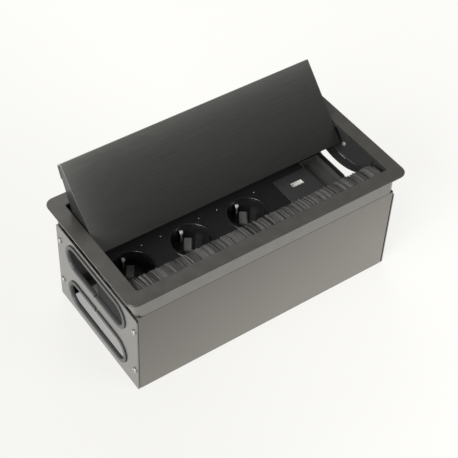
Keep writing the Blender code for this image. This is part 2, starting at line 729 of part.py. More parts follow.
def build_lid(parent):
    """The folded skin: flat panel, rear hem and return lip."""
    line = [
        lid_point(LID_DEPTH, 0.0),
        lid_point(LID_HEM_CORNER / 2, 0.0),
        lid_point(0.0, LID_HEM_CORNER / 2),
        lid_point(0.0, LID_HEM - LID_HEM_CORNER),
        lid_point(LID_HEM_FOOT, LID_HEM),
        lid_point(LID_LIP, LID_HEM + LID_LIP_DROP),
    ]
    skin = prism(folded_sheet(line[::-1], LID_SHEET), "X", -LID_HALF, LID_HALF)
    make_part("lid_panel", skin, "brushed_lid", parent=parent)


def cheek_outline():
    """Cheek seen from the end: under the skin, above the lip, down to the guide and up to the front."""
    first = LID_SHEET + CLEARANCE
    lip_slope = LID_LIP_DROP / (LID_LIP - LID_HEM_FOOT)
    lip_thick = LID_SHEET * math.sqrt(1.0 + lip_slope**2)
    lip_free = LID_HEM - lip_thick - CHEEK_LIP_CLEARANCE
    knee = LID_LIP + LID_SHEET
    knee_drop = lip_free + lip_slope * (knee - LID_HEM_FOOT)
    points = [lid_point(first, first)]
    points.append(lid_point(first, lip_free + lip_slope * (first - LID_HEM_FOOT)))
    points.append(lid_point(knee, knee_drop))
    edge_radius = STUD_PATH + STUD_RADIUS - CHEEK_EDGE_INSET
    meeting_y = edge_radius * math.cos(math.radians(stud_angles()[1] + CHEEK_LEAD))
    front_y = lid_point(LID_DEPTH - CHEEK_FRONT, 0.0)[0]
    points += hanging_arc((0.0, 0.0), edge_radius, meeting_y, front_y, CHEEK_STEPS)
    points.append((front_y, lid_point(0.0, first)[1]))
    return points


def build_cheek(label, side, parent):
    """Lid cheek with its weld tab and the two studs that run in the guide's slot."""
    plate_x = sided(side, CHEEK_OUT_X - CHEEK_SHEET, CHEEK_OUT_X)
    plate = prism(cheek_outline(), "X", *plate_x)
    under_skin = LID_SHEET + CLEARANCE
    tab_x = sided(side, CHEEK_OUT_X - CHEEK_TAB_WIDTH, CHEEK_OUT_X - CHEEK_SHEET / 2)
    tab_low = lid_point(LID_DEPTH - CHEEK_TAB_INSET, under_skin + CHEEK_SHEET)
    tab_high = lid_point(CHEEK_TAB_INSET, under_skin)
    tab = block((tab_x[0], *tab_low), (tab_x[1], *tab_high))
    studs = []
    stud_x = sided(side, CHEEK_OUT_X - CHEEK_SHEET / 2, GUIDE_OUT_X)
    for angle in stud_angles():
        y = STUD_PATH * math.cos(math.radians(angle))
        z = STUD_PATH * math.sin(math.radians(angle))
        studs.append(rod((stud_x[0], y, z), "X", STUD_RADIUS, stud_x[1] - stud_x[0], SCREW_STEPS))
    make_part(f"lid_cheek_{label}", plate, "guide_paint", joins=[tab, *studs], parent=parent)


def build_brush():
    """Bristles clamped by a bar under the front limb, falling towards the sockets."""
    root_y = -OPENING_Y - CLEARANCE
    top_z = UNDER_FRAME
    low_z = top_z - BRUSH_THICKNESS
    back_y = root_y - BRUSH_ROOT_DEPTH
    pitch = (BRUSH_LENGTH + BRUSH_TUFT_GAP) / BRUSH_TUFTS
    mesh = bmesh.new()
    start_x = -BRUSH_LENGTH / 2
    section = rectangle((back_y, low_z), (root_y, top_z))
    corners = [mesh.verts.new((start_x, y, z)) for y, z in section]
    end_face = mesh.faces.new(corners)
    for tuft in range(BRUSH_TUFTS):
        for width in (pitch - BRUSH_TUFT_GAP, BRUSH_TUFT_GAP):
            if tuft == BRUSH_TUFTS - 1 and width == BRUSH_TUFT_GAP:
                continue
            drawn = bmesh.ops.extrude_face_region(mesh, geom=whole(end_face))["geom"]
            verts = [part for part in drawn if isinstance(part, bmesh.types.BMVert)]
            bmesh.ops.translate(mesh, verts=verts, vec=(width, 0.0, 0.0))
            end_face = last_face(drawn)
    bmesh.ops.recalc_face_normals(mesh, faces=mesh.faces)
    fronts = []
    for face in mesh.faces:
        width = max(v.co.x for v in face.verts) - min(v.co.x for v in face.verts)
        at_front = all(abs(vert.co.y - root_y) < WELD_DISTANCE for vert in face.verts)
        if at_front and width > 2 * BRUSH_TUFT_GAP:
            fronts.append(face)
    tips = bmesh.ops.extrude_discrete_faces(mesh, faces=fronts)["faces"]
    for tip in tips:
        centre = tip.calc_center_median()
        for vert in tip.verts:
            vert.co.x -= math.copysign(BRUSH_TIP_INSET, vert.co.x - centre.x)
            vert.co.z -= math.copysign(BRUSH_TIP_THINNING, vert.co.z - centre.z)
            vert.co += Vector((0.0, BRUSH_REACH, -BRUSH_FALL))
    bmesh.ops.recalc_face_normals(mesh, faces=mesh.faces)
    make_part("brush_bristles", mesh, "bristle")
    bar_top = low_z - CLEARANCE
    bar = block(
        (start_x, root_y - BRUSH_BAR_DEPTH, bar_top - BRUSH_BAR_THICKNESS),
        (-start_x, root_y, bar_top),
    )
    make_part("brush_clamp_bar", bar, "guide_paint")


def build_carrier():
    """Channel-shaped plate between front and back plates, cut out for the sockets and modules."""
    half_y = PLATE_IN_Y - CLEARANCE
    line = [
        (half_y, CARRIER_TOP - CARRIER_FLANGE),
        (half_y, CARRIER_TOP),
        (-half_y, CARRIER_TOP),
        (-half_y, CARRIER_TOP - CARRIER_FLANGE),
    ]
    plate = prism(folded_sheet(line, CARRIER_SHEET), "X", -CARRIER_X, CARRIER_X)
    low_z = CARRIER_UNDER - OVERCUT
    high_z = CARRIER_TOP + OVERCUT
    hole_radius = SOCKET_WELL_RADIUS + SOCKET_WALL + CLEARANCE
    cuts = []
    for x in SOCKET_X:
        cuts.append(rod((x, SOCKET_Y, low_z), "Z", hole_radius, high_z - low_z, SOCKET_STEPS))
    usb_low = (USB_LOW[0] + USB_FACE_LAP - CLEARANCE, USB_LOW[1] + USB_FACE_LAP - CLEARANCE)
    usb_high = (USB_HIGH[0] - USB_FACE_LAP + CLEARANCE, USB_HIGH[1] - USB_FACE_LAP + CLEARANCE)
    cuts.append(prism(rectangle(usb_low, usb_high), "Z", low_z, high_z))
    blank_low = (BLANK_LOW_X - CLEARANCE, BLANK_LOW_Y - CLEARANCE)
    blank_high = (BLANK_HIGH_X + CLEARANCE, BLANK_HIGH_Y + CLEARANCE)
    cuts.append(prism(rectangle(blank_low, blank_high), "Z", low_z, high_z))
    make_part("carrier_plate", plate, "black_plastic", cuts=cuts)


def build_socket(number, x):
    """Socket moulding about the middle of its rim: well, pin holes, side ribs and clip slots."""
    seat = bpy.data.objects.new(f"socket_seat_{number}", None)
    seat.location = (x, SOCKET_Y, CARRIER_TOP)
    bpy.context.scene.collection.objects.link(seat)
    outer = SOCKET_WELL_RADIUS + SOCKET_WALL
    floor = -SOCKET_WELL_DEPTH
    bottom = floor - SOCKET_FLOOR
    profile = [
        (0.0, floor),
        (SOCKET_WELL_RADIUS, floor),
        (SOCKET_WELL_RADIUS, SOCKET_RIM_HEIGHT - CLEARANCE),
        (SOCKET_WELL_RADIUS + CLEARANCE, SOCKET_RIM_HEIGHT),
        (SOCKET_RIM_RADIUS - CLEARANCE, SOCKET_RIM_HEIGHT),
        (SOCKET_RIM_RADIUS + CLEARANCE, CLEARANCE),
        (outer, CLEARANCE),
        (outer, floor),
        (outer - SOCKET_WALL, bottom),
        (0.0, bottom),
    ]
    moulding = turned(profile, (0.0, 0.0, 0.0), "Z", SOCKET_STEPS)
    slot_top = 2 * CLIP_SHEET - CLIP_TOP_DROP
    hole_low = floor - 2 * SLEEVE_COVER
    seat_low = bottom - OVERCUT
    seat_depth = floor - SLEEVE_COVER - seat_low
    joins = []
    cuts = []
    for side in (-1.0, 1.0):
        rib_x = sided(side, SOCKET_WELL_RADIUS - RIB_DEPTH, SOCKET_WELL_RADIUS + SOCKET_WALL / 2)
        rib_low = (rib_x[0], -RIB_WIDTH / 2, floor - OVERCUT)
        joins.append(block(rib_low, (rib_x[1], RIB_WIDTH / 2, -RIB_TOP_DROP)))
        slot_y = sided(side, CLIP_SLOT_Y, outer + OVERCUT)
        slot_low = (-CLIP_SLOT_WIDTH / 2, slot_y[0], bottom - OVERCUT)
        cuts.append(block(slot_low, (CLIP_SLOT_WIDTH / 2, slot_y[1], slot_top)))
        pin_x = side * PIN_PITCH / 2
        cuts.append(rod((pin_x, 0.0, hole_low), "Z", PIN_HOLE_RADIUS, 3 * SLEEVE_COVER, PIN_STEPS))
        cuts.append(rod((pin_x, 0.0, seat_low), "Z", SLEEVE_RADIUS + CLEARANCE, seat_depth, PIN_STEPS))
    make_part(f"socket_insert_{number}", moulding, "black_plastic", joins, cuts, seat, smooth=True)


def build_clip(number, x):
    """Earth clip: one sprung strip that passes under the moulding and stands up at both sides."""
    half = [
        (CLIP_TIP_Y, CARRIER_TOP - CLIP_TOP_DROP),
        (CLIP_TIP_Y - CLIP_SHEET, CARRIER_TOP - CLIP_TOP_DROP - 2 * CLIP_SHEET),
        (CLIP_BEND_Y, CARRIER_TOP - CLIP_BEND_DROP),
        (CLIP_LEG_Y, WELL_FLOOR),
        (CLIP_LEG_Y, SOCKET_BOTTOM - CLEARANCE),
    ]
    line = [(SOCKET_Y + y, z) for y, z in half]
    line += [(SOCKET_Y - y, z) for y, z in half[::-1]]
    strip = prism(folded_sheet(line[::-1], -CLIP_SHEET), "X", x - CLIP_WIDTH / 2, x + CLIP_WIDTH / 2)
    make_part(f"earth_clip_{number}", strip, "bright_steel")


def bar_level(order):
    """Upper face of a current bar: line first, neutral below it."""
    return SOCKET_BOTTOM - CLEARANCE - CLIP_SHEET - CLEARANCE - order * BAR_SPACING


def build_sleeve(name, x, order):
    """Brass contact sleeve of one pin, standing on its current bar."""
    top = WELL_FLOOR - SLEEVE_COVER - CLEARANCE
    length = top - bar_level(order) - CLEARANCE
    inner = SLEEVE_RADIUS - SLEEVE_WALL
    profile = [(inner, 0.0), (SLEEVE_RADIUS, 0.0), (SLEEVE_RADIUS, length), (inner, length)]
    centre = (x, SOCKET_Y, bar_level(order) + CLEARANCE)
    make_part(name, turned(profile, centre, "Z", PIN_STEPS, closed=True), "brass", smooth=True)


def build_bars(terminal_x):
    """Line, neutral and earth bars that join the sockets to the terminal block."""
    for order, label in enumerate(("line", "neutral")):
        top = bar_level(order)
        low_x = SOCKET_X[0] - PIN_PITCH / 2 - BAR_END_MARGIN
        bar = block(
            (low_x, SOCKET_Y - BAR_WIDTH / 2, top - BAR_THICKNESS),
            (terminal_x - CLEARANCE, SOCKET_Y + BAR_WIDTH / 2, top),
        )
        cuts = []
        if order == 0:
            for x in SOCKET_X:
                start = (x + PIN_PITCH / 2, SOCKET_Y, top - BAR_THICKNESS - OVERCUT)
                passage = SLEEVE_RADIUS + 2 * CLEARANCE
                cuts.append(rod(start, "Z", passage, BAR_THICKNESS + 2 * OVERCUT, PIN_STEPS))
        make_part(f"{label}_bar", bar, "brass", cuts=cuts)
    top = bar_level(0)
    earth = block(
        (SOCKET_X[0] - CLIP_WIDTH, SOCKET_Y + EARTH_BAR_Y - EARTH_BAR_WIDTH / 2, top - BAR_THICKNESS),
        (terminal_x - CLEARANCE, SOCKET_Y + EARTH_BAR_Y + EARTH_BAR_WIDTH / 2, top),
    )
    make_part("earth_bar", earth, "brass")


def build_cover(terminal_x):
    """Moulded cover under the sockets, its terminal block and the rubber bush of its wire inlet."""
    high_z = CARRIER_UNDER - CLEARANCE
    low_z = high_z - COVER_DEPTH + CARRIER_SHEET
    shell = block((COVER_LOW_X, COVER_LOW_Y, low_z), (COVER_HIGH_X, COVER_HIGH_Y, high_z))
    hollow = block(
        (COVER_LOW_X + COVER_WALL, COVER_LOW_Y + COVER_WALL, low_z + COVER_WALL),
        (COVER_HIGH_X - COVER_WALL, COVER_HIGH_Y - COVER_WALL, high_z + OVERCUT),
    )
    inlet_x = terminal_x + TERMINAL_LENGTH / 2
    inlet_z = TOP - INLET_DROP
    hole_start = (inlet_x, COVER_HIGH_Y - COVER_WALL - OVERCUT, inlet_z)
    hole = rod(hole_start, "Y", INLET_RADIUS, COVER_WALL + 2 * OVERCUT, SOCKET_STEPS // 2)
    make_part("socket_cover", shell, "cover_plastic", cuts=[hollow, hole])
    block_low = low_z + COVER_WALL + CLEARANCE
    terminal = block(
        (terminal_x, SOCKET_Y - TERMINAL_WIDTH / 2, block_low),
        (terminal_x + TERMINAL_LENGTH, SOCKET_Y + TERMINAL_WIDTH / 2, block_low + TERMINAL_HEIGHT),
    )
    holes = []
    for place in (-1.0, 0.0, 1.0):
        start = (inlet_x, SOCKET_Y + place * TERMINAL_PITCH, block_low + TERMINAL_HOLE_FLOOR)
        holes.append(rod(start, "Z", TERMINAL_HOLE_RADIUS, TERMINAL_HEIGHT, PIN_STEPS))
    make_part("terminal_block", terminal, "white_plastic", cuts=holes)
    groove = COVER_WALL / 2 + CLEARANCE
    profile = [
        (INLET_RADIUS - CLEARANCE - INLET_BEAD, -groove - INLET_BEAD / 2),
        (INLET_RADIUS + INLET_BEAD, -groove - INLET_BEAD),
        (INLET_RADIUS + INLET_BEAD, -groove),
        (INLET_RADIUS - CLEARANCE, -groove),
        (INLET_RADIUS - CLEARANCE, groove),
        (INLET_RADIUS + INLET_BEAD, groove),
        (INLET_RADIUS + INLET_BEAD, groove + INLET_BEAD),
        (INLET_RADIUS - CLEARANCE - INLET_BEAD, groove + INLET_BEAD / 2),
    ]
    centre = (inlet_x, COVER_HIGH_Y - COVER_WALL / 2, inlet_z)
    bush = turned(profile, centre, "Y", SOCKET_STEPS // 2, closed=True)
    make_part("inlet_bush", bush, "rubber", smooth=True)


def build_usb():
    """Charger module with a face that laps the carrier, its port shell and its contact tongue."""
    face_low = CARRIER_TOP + CLEARANCE
    face_top = face_low + USB_FACE_HEIGHT
    face = prism(rounded_rectangle(USB_LOW, USB_HIGH, USB_CORNER, USB_CORNER_STEPS), "Z", face_low, face_top)
    bevel_flat_edges(face, face_top, CLEARANCE)
    body = block(
        (USB_LOW[0] + USB_FACE_LAP, USB_LOW[1] + USB_FACE_LAP, CARRIER_UNDER - USB_BODY_DEPTH),
        (USB_HIGH[0] - USB_FACE_LAP, USB_HIGH[1] - USB_FACE_LAP, face_low + USB_FACE_HEIGHT / 2),
    )
    port_low = (PORT_CENTRE[0] - PORT_WIDTH / 2, PORT_CENTRE[1] - PORT_HEIGHT / 2)
    port_high = (PORT_CENTRE[0] + PORT_WIDTH / 2, PORT_CENTRE[1] + PORT_HEIGHT / 2)
    port_floor = face_top - PORT_DEPTH
    port = prism(rectangle(port_low, port_high), "Z", port_floor, face_top + OVERCUT)
    half_x, half_y = RELEASE_SIZE[0] / 2, RELEASE_SIZE[1] / 2
    release = block(
        (PORT_CENTRE[0] - half_x, RELEASE_CENTRE_Y - half_y, face_top - RELEASE_SIZE[2]),
        (PORT_CENTRE[0] + half_x, RELEASE_CENTRE_Y + half_y, face_top + OVERCUT),
    )
    make_part("usb_module", face, "grey_plastic", joins=[body], cuts=[port, release])
    shell_low = (port_low[0] + CLEARANCE, port_low[1] + CLEARANCE)
    shell_high = (port_high[0] - CLEARANCE, port_high[1] - CLEARANCE)
    shell_floor = port_floor + CLEARANCE
    shell = prism(rectangle(shell_low, shell_high), "Z", shell_floor, face_top)
    inner_low = (shell_low[0] + PORT_SHELL, shell_low[1] + PORT_SHELL)
    inner_high = (shell_high[0] - PORT_SHELL, shell_high[1] - PORT_SHELL)
    bore = prism(rectangle(inner_low, inner_high), "Z", shell_floor + PORT_SHELL, face_top + OVERCUT)
    make_part("usb_port_shell", shell, "bright_steel", cuts=[bore])
    tongue_floor = shell_floor + PORT_SHELL + CLEARANCE
    tongue = block(
        (PORT_CENTRE[0] - TONGUE_SIZE[0] / 2, inner_high[1] - CLEARANCE - TONGUE_SIZE[1], tongue_floor),
        (PORT_CENTRE[0] + TONGUE_SIZE[0] / 2, inner_high[1] - CLEARANCE, tongue_floor + TONGUE_SIZE[2]),
    )
    make_part("usb_tongue", tongue, "white_plastic")


def build_blank():
    """Blank module: a shallow open tray that fills the unused place beside the charger."""
    face_top = CARRIER_TOP + USB_FACE_HEIGHT / 2
    low = (BLANK_LOW_X, BLANK_LOW_Y)
    high = (BLANK_HIGH_X, BLANK_HIGH_Y)
    tray = prism(rectangle(low, high), "Z", face_top - BLANK_POCKET - BLANK_FLOOR, face_top)
    pocket_low = (low[0] + BLANK_RIM, low[1] + BLANK_RIM)
    pocket_high = (high[0] - BLANK_RIM, high[1] - BLANK_RIM)
    pocket_outline = rounded_rectangle(pocket_low, pocket_high, USB_CORNER, USB_CORNER_STEPS)
    pocket = prism(pocket_outline, "Z", face_top - BLANK_POCKET, face_top + OVERCUT)
    make_part("blank_module", tray, "grey_plastic", cuts=[pocket])


def build_module():
    """Put the whole power module together."""
    clear_scene()
    build_frame()
    build_long_plate("front_plate", -1.0)
    build_long_plate("back_plate", 1.0)
    for label, side in (("left", -1.0), ("right", 1.0)):
        build_end_plate(f"end_plate_{label}", side)
        build_edging(f"oval_edging_{label}_upper", side, UPPER_OVAL_DROP, True)
        build_edging(f"oval_edging_{label}_lower", side, LOWER_OVAL_DROP, False)
        build_end_screws(label, side)
        build_guide(label, side)
    lid_axis = bpy.data.objects.new("lid_axis", None)
    lid_axis.location = (0.0, LID_AXIS_Y, TOP + LID_AXIS_RISE)
    lid_axis.rotation_euler.x = math.radians(LID_OPEN_ANGLE)
    bpy.context.scene.collection.objects.link(lid_axis)
    build_lid(lid_axis)
    build_cheek("left", -1.0, lid_axis)
    build_cheek("right", 1.0, lid_axis)
    build_brush()
    build_carrier()
    terminal_x = COVER_HIGH_X - COVER_WALL - CLEARANCE - TERMINAL_LENGTH
    for number, x in enumerate(SOCKET_X, start=1):
        build_socket(number, x)
        build_clip(number, x)
        build_sleeve(f"line_sleeve_{number}", x - PIN_PITCH / 2, 0)
        build_sleeve(f"neutral_sleeve_{number}", x + PIN_PITCH / 2, 1)
    build_bars(terminal_x)
    build_cover(terminal_x)
    build_usb()
    build_blank()


build_module()
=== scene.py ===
# %% [markdown]
# # An in-desk power module
# The real thing is a dark steel box that hangs in a desk top by its flange. Its lid stands open
# here, over three earthed sockets, a charger and a brush that lets cables through. Every solid comes
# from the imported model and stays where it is. This script gives the solids rounded edges, finer
# small parts and their finishes, and then sets up the light and the camera.

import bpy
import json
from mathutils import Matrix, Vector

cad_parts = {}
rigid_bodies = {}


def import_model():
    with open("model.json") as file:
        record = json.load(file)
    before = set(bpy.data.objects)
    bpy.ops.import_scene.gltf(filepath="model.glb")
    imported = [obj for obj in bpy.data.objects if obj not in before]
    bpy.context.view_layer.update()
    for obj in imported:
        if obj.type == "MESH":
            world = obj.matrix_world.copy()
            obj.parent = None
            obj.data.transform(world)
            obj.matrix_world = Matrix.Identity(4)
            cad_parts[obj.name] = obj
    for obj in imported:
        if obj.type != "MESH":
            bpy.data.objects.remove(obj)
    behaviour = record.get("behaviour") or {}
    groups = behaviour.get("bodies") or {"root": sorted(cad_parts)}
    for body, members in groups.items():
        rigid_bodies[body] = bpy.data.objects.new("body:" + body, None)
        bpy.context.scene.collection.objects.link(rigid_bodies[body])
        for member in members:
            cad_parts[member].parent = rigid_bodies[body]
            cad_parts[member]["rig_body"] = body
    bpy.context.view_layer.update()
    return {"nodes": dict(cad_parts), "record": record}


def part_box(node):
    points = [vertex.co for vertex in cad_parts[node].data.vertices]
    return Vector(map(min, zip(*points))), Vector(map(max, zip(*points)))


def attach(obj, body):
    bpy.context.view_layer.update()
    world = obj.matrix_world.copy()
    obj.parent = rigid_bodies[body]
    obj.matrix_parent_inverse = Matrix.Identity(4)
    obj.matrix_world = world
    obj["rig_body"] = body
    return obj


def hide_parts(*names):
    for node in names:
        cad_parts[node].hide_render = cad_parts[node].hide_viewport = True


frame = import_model()

# %% Modules and units
import json
import math
import random

import bmesh
import bpy
from mathutils import Euler, Matrix, Vector

MM = 0.001
SLOT_OF = {part["node"]: part["material_slot"] for part in frame["record"]["subparts"]}
print("finishes:", sorted(set(SLOT_OF.values())))

# %% [markdown]
# ## Camera
# A photograph of a box holds enough straight edges to work out where the camera stood. These values
# are the result: a long lens, about a metre from the box, looking down at 46 degrees from the front
# left, with a slight roll. They are set as plain numbers, so the picture never depends on a helper.

# %% Camera at the photograph's place
CAMERA_PLACE = Vector((-474.2, -632.9, 898.0)) * MM
CAMERA_TURN = (43.54, -2.04, -34.82)
CAMERA_LENS = 96.23
CAMERA_SENSOR = 36.0
CAMERA_CLIP_END = 20.0

lens = bpy.data.cameras.new("camera")
lens.lens = CAMERA_LENS
lens.sensor_width = CAMERA_SENSOR
lens.clip_end = CAMERA_CLIP_END
camera = bpy.data.objects.new("camera", lens)
camera.location = CAMERA_PLACE
camera.rotation_euler = Euler([math.radians(angle) for angle in CAMERA_TURN])
bpy.context.scene.collection.objects.link(camera)
bpy.context.scene.camera = camera
bpy.context.scene.view_settings.view_transform = "Standard"
print("camera:", tuple(round(value, 3) for value in camera.location))

# %% [markdown]
# ## Node helpers
# Materials are small graphs. A few helpers keep them readable: one adds a node and fills its inputs
# with numbers or links, and the others do a sum, read Object coordinates or open a node group.


# %% Helpers for shader nodes
def add_node(tree, kind, inputs=(), **settings):
    """A node with its settings, and its inputs filled by number or by link."""
    node = tree.nodes.new(kind)
    for name, value in settings.items():
        setattr(node, name, value)
    for name, value in dict(inputs).items():
        if isinstance(value, bpy.types.NodeSocket):
            tree.links.new(value, node.inputs[name])
        else:
            node.inputs[name].default_value = value
    return node


def calculate(tree, operation, first, second=0.0):
    """The output of one Math node."""
    return add_node(tree, "ShaderNodeMath", {0: first, 1: second}, operation=operation).outputs[0]


def object_place(tree):
    """Object coordinates, which stay with a piece wherever it goes."""
    return add_node(tree, "ShaderNodeTexCoord").outputs["Object"]


def object_axes(tree):
    """Object coordinates as three outputs named X, Y and Z."""
    return add_node(tree, "ShaderNodeSeparateXYZ", {"Vector": object_place(tree)}).outputs


def open_group(name, inputs, outputs):
    """A node group with number inputs and outputs, its input node and its output node."""
    group = bpy.data.node_groups.new(name, "ShaderNodeTree")
    for label, value in inputs.items():
        socket = group.interface.new_socket(label, in_out="INPUT", socket_type="NodeSocketFloat")
        socket.default_value = value
    for label in outputs:
        group.interface.new_socket(label, in_out="OUTPUT", socket_type="NodeSocketFloat")
    return group, group.nodes.new("NodeGroupInput"), group.nodes.new("NodeGroupOutput")


# %% [markdown]
# ## Shared surface effects
# Four effects turn up on more than one finish, so each is a node group:
# - a fine skin, the small bumps of spray paint, cast rubber or spark-eroded plastic, with a slow
#   drift in tone, because no coat is quite even
# - drawn grain, the long lines that brushing leaves along a sheet
# - dust, a few pale specks that settle on dark gloss
# - a soft shade, a painted shade: the slow change from dark to light over a whole sheet in soft light
#
# They could be painted as images, but noise and sums stay sharp at any size and need no file.
# Scales are in bumps per metre, and all four read Object coordinates.

# %% A tone that swings about 1
NOISE_MIDDLE = 0.5


def about_one(tree, noise, amount):
    """A tone that swings about 1 as a noise swings about its middle."""
    swing = calculate(tree, "SUBTRACT", noise, NOISE_MIDDLE)
    return calculate(tree, "ADD", calculate(tree, "MULTIPLY", swing, amount), 1.0)


# %% Fine skin of paint and mouldings
SKIN_DEFAULTS = {"Grain Scale": 1500.0, "Drift Scale": 12.0, "Drift Amount": 0.1}
SKIN_DETAIL = 2.0
DRIFT_DETAIL = 3.0


def make_fine_skin():
    """Bumps, and a tone that drifts slowly about 1."""
    group, given, out = open_group("fine_skin", SKIN_DEFAULTS, ("Tone", "Height"))
    place = object_place(group)
    grain_inputs = {"Vector": place, "Scale": given.outputs["Grain Scale"], "Detail": SKIN_DETAIL}
    grain = add_node(group, "ShaderNodeTexNoise", grain_inputs)
    drift_inputs = {"Vector": place, "Scale": given.outputs["Drift Scale"], "Detail": DRIFT_DETAIL}
    drift = add_node(group, "ShaderNodeTexNoise", drift_inputs)
    tone = about_one(group, drift.outputs[0], given.outputs["Drift Amount"])
    group.links.new(tone, out.inputs["Tone"])
    group.links.new(grain.outputs[0], out.inputs["Height"])
    return group


FINE_SKIN = make_fine_skin()
print("group:", FINE_SKIN.name)

# %% Drawn grain of brushed sheet
GRAIN_DEFAULTS = {"Line Scale": 2200.0, "Stretch": 70.0, "Amount": 0.3}
GRAIN_DETAIL = 4.0
GRAIN_ROUGHNESS = 0.7


def make_drawn_grain():
    """Lines along X: noise that is squeezed across and stretched along."""
    group, given, out = open_group("drawn_grain", GRAIN_DEFAULTS, ("Tone", "Height"))
    axes = object_axes(group)
    along = calculate(group, "DIVIDE", axes["X"], given.outputs["Stretch"])
    place = add_node(group, "ShaderNodeCombineXYZ", {"X": along, "Y": axes["Y"], "Z": axes["Z"]})
    lines = add_node(
        group,
        "ShaderNodeTexNoise",
        {
            "Vector": place.outputs[0],
            "Scale": given.outputs["Line Scale"],
            "Detail": GRAIN_DETAIL,
            "Roughness": GRAIN_ROUGHNESS,
        },
    )
    tone = about_one(group, lines.outputs[0], given.outputs["Amount"])
    group.links.new(tone, out.inputs["Tone"])
    group.links.new(lines.outputs[0], out.inputs["Height"])
    return group


DRAWN_GRAIN = make_drawn_grain()
print("group:", DRAWN_GRAIN.name)

# %% Dust on dark gloss
DUST_DEFAULTS = {"Speck Scale": 900.0, "Cover": 0.12}
PATCH_SCALE = 45.0
PATCH_DETAIL = 2.0
PATCH_START = 0.42
PATCH_GAIN = 2.0


def make_dust():
    """A mask of small scattered specks, thicker in some places than in others."""
    group, given, out = open_group("dust", DUST_DEFAULTS, ("Mask",))
    place = object_place(group)
    speck_inputs = {"Vector": place, "Scale": given.outputs["Speck Scale"]}
    specks = add_node(group, "ShaderNodeTexVoronoi", speck_inputs)
    patch_inputs = {"Vector": place, "Scale": PATCH_SCALE, "Detail": PATCH_DETAIL}
    patches = add_node(group, "ShaderNodeTexNoise", patch_inputs)
    near = calculate(group, "LESS_THAN", specks.outputs["Distance"], given.outputs["Cover"])
    thick = calculate(group, "SUBTRACT", patches.outputs[0], PATCH_START)
    mask = calculate(group, "MULTIPLY", near, calculate(group, "MAXIMUM", thick, 0.0))
    group.links.new(calculate(group, "MULTIPLY", mask, PATCH_GAIN), out.inputs["Mask"])
    return group


DUST = make_dust()
print("group:", DUST.name)

# %% Soft shade over a whole part
SHADE_DEFAULTS = {
    "Level": 1.0,
    "Along X": 0.0,
    "Up Z": 0.0,
    "Rise": 0.0,
    "Foot": 0.0,
    "Height": 0.1,
    "Edge": 0.0,
}
RISE_POWER = 8.0
EDGE_START = -0.134
EDGE_FADE = 66.0


def make_soft_shade():
    """Painted shade: a slow change in tone along X and Z, and a painted lighter band towards the low end
    of X.
    """
    group, given, out = open_group("soft_shade", SHADE_DEFAULTS, ("Tone",))
    axes = object_axes(group)
    up = calculate(group, "SUBTRACT", axes["Z"], given.outputs["Foot"])
    up = calculate(group, "MAXIMUM", calculate(group, "DIVIDE", up, given.outputs["Height"]), 0.0)
    tone = calculate(group, "MULTIPLY", axes["X"], given.outputs["Along X"])
    tone = calculate(group, "ADD", tone, given.outputs["Level"])
    tone = calculate(group, "ADD", tone, calculate(group, "MULTIPLY", up, given.outputs["Up Z"]))
    steep = calculate(group, "POWER", up, RISE_POWER)
    tone = calculate(group, "ADD", tone, calculate(group, "MULTIPLY", steep, given.outputs["Rise"]))
    inwards = calculate(group, "SUBTRACT", axes["X"], EDGE_START)
    fading = calculate(group, "EXPONENT", calculate(group, "MULTIPLY", inwards, -EDGE_FADE))
    tone = calculate(group, "ADD", tone, calculate(group, "MULTIPLY", fading, given.outputs["Edge"]))
    group.links.new(tone, out.inputs["Tone"])
    return group


SOFT_SHADE = make_soft_shade()
print("group:", SOFT_SHADE.name)

# %% [markdown]
# ## Finishes
# A finish is a Principled shader with one or two of those effects. The colour written here is a grey
# from 0 to 255 as the eye sees it, turned into the linear number that the shader wants. Paint gets
# its sheen from metallic flakes under a thin coat: it stays dark where it faces the dark room above,
# and turns light where it mirrors the pale floor, just as the real box does. The lid is brushed
# sheet, so its lines run along it. Rubber and mouldings are dull and even, and the dark ones carry a
# little dust.

# %% Colours as the eye sees them
FULL_SHADE = 255.0
SRGB_FOOT = 0.04045
SRGB_SLOPE = 12.92
SRGB_OFFSET = 0.055
SRGB_POWER = 2.4


def linear(shade):
    """Linear value of a grey from 0 to 255."""
    value = shade / FULL_SHADE
    if value <= SRGB_FOOT:
        return value / SRGB_SLOPE
    return ((value + SRGB_OFFSET) / (1.0 + SRGB_OFFSET)) ** SRGB_POWER


def tint(red, green, blue):
    """Linear colour from a colour from 0 to 255."""
    return (linear(red), linear(green), linear(blue), 1.0)


print("middle grey:", round(linear(FULL_SHADE / 2), 3))

# %% Steps that every finish takes
COAT_ROUGHNESS = 0.1


def begin_material(name, roughness, metallic, coat=0.0):
    """A Principled material, its tree and its shader."""
    material = bpy.data.materials.new(name)
    material.use_nodes = True
    shader = material.node_tree.nodes["Principled BSDF"]
    shader.inputs["Roughness"].default_value = roughness
    shader.inputs["Metallic"].default_value = metallic
    shader.inputs["Coat Weight"].default_value = coat
    shader.inputs["Coat Roughness"].default_value = COAT_ROUGHNESS
    return material, material.node_tree, shader


def toned(tree, colour, tone):
    """The colour, lighter and darker by a tone."""
    inputs = {0: colour[:3], "Scale": tone}
    return add_node(tree, "ShaderNodeVectorMath", inputs, operation="SCALE").outputs[0]


def shaded(tree, tone, shade):
    """The tone, with the soft shade of a whole part if one is asked for."""
    if not shade:
        return tone
    soft = add_node(tree, "ShaderNodeGroup", shade, node_tree=SOFT_SHADE)
    return calculate(tree, "MULTIPLY", tone, soft.outputs["Tone"])


def bumped(tree, shader, height, depth):
    """Raise the surface by a height, as deep as given."""
    bump = add_node(tree, "ShaderNodeBump", {"Height": height, "Distance": depth})
    tree.links.new(bump.outputs[0], shader.inputs["Normal"])


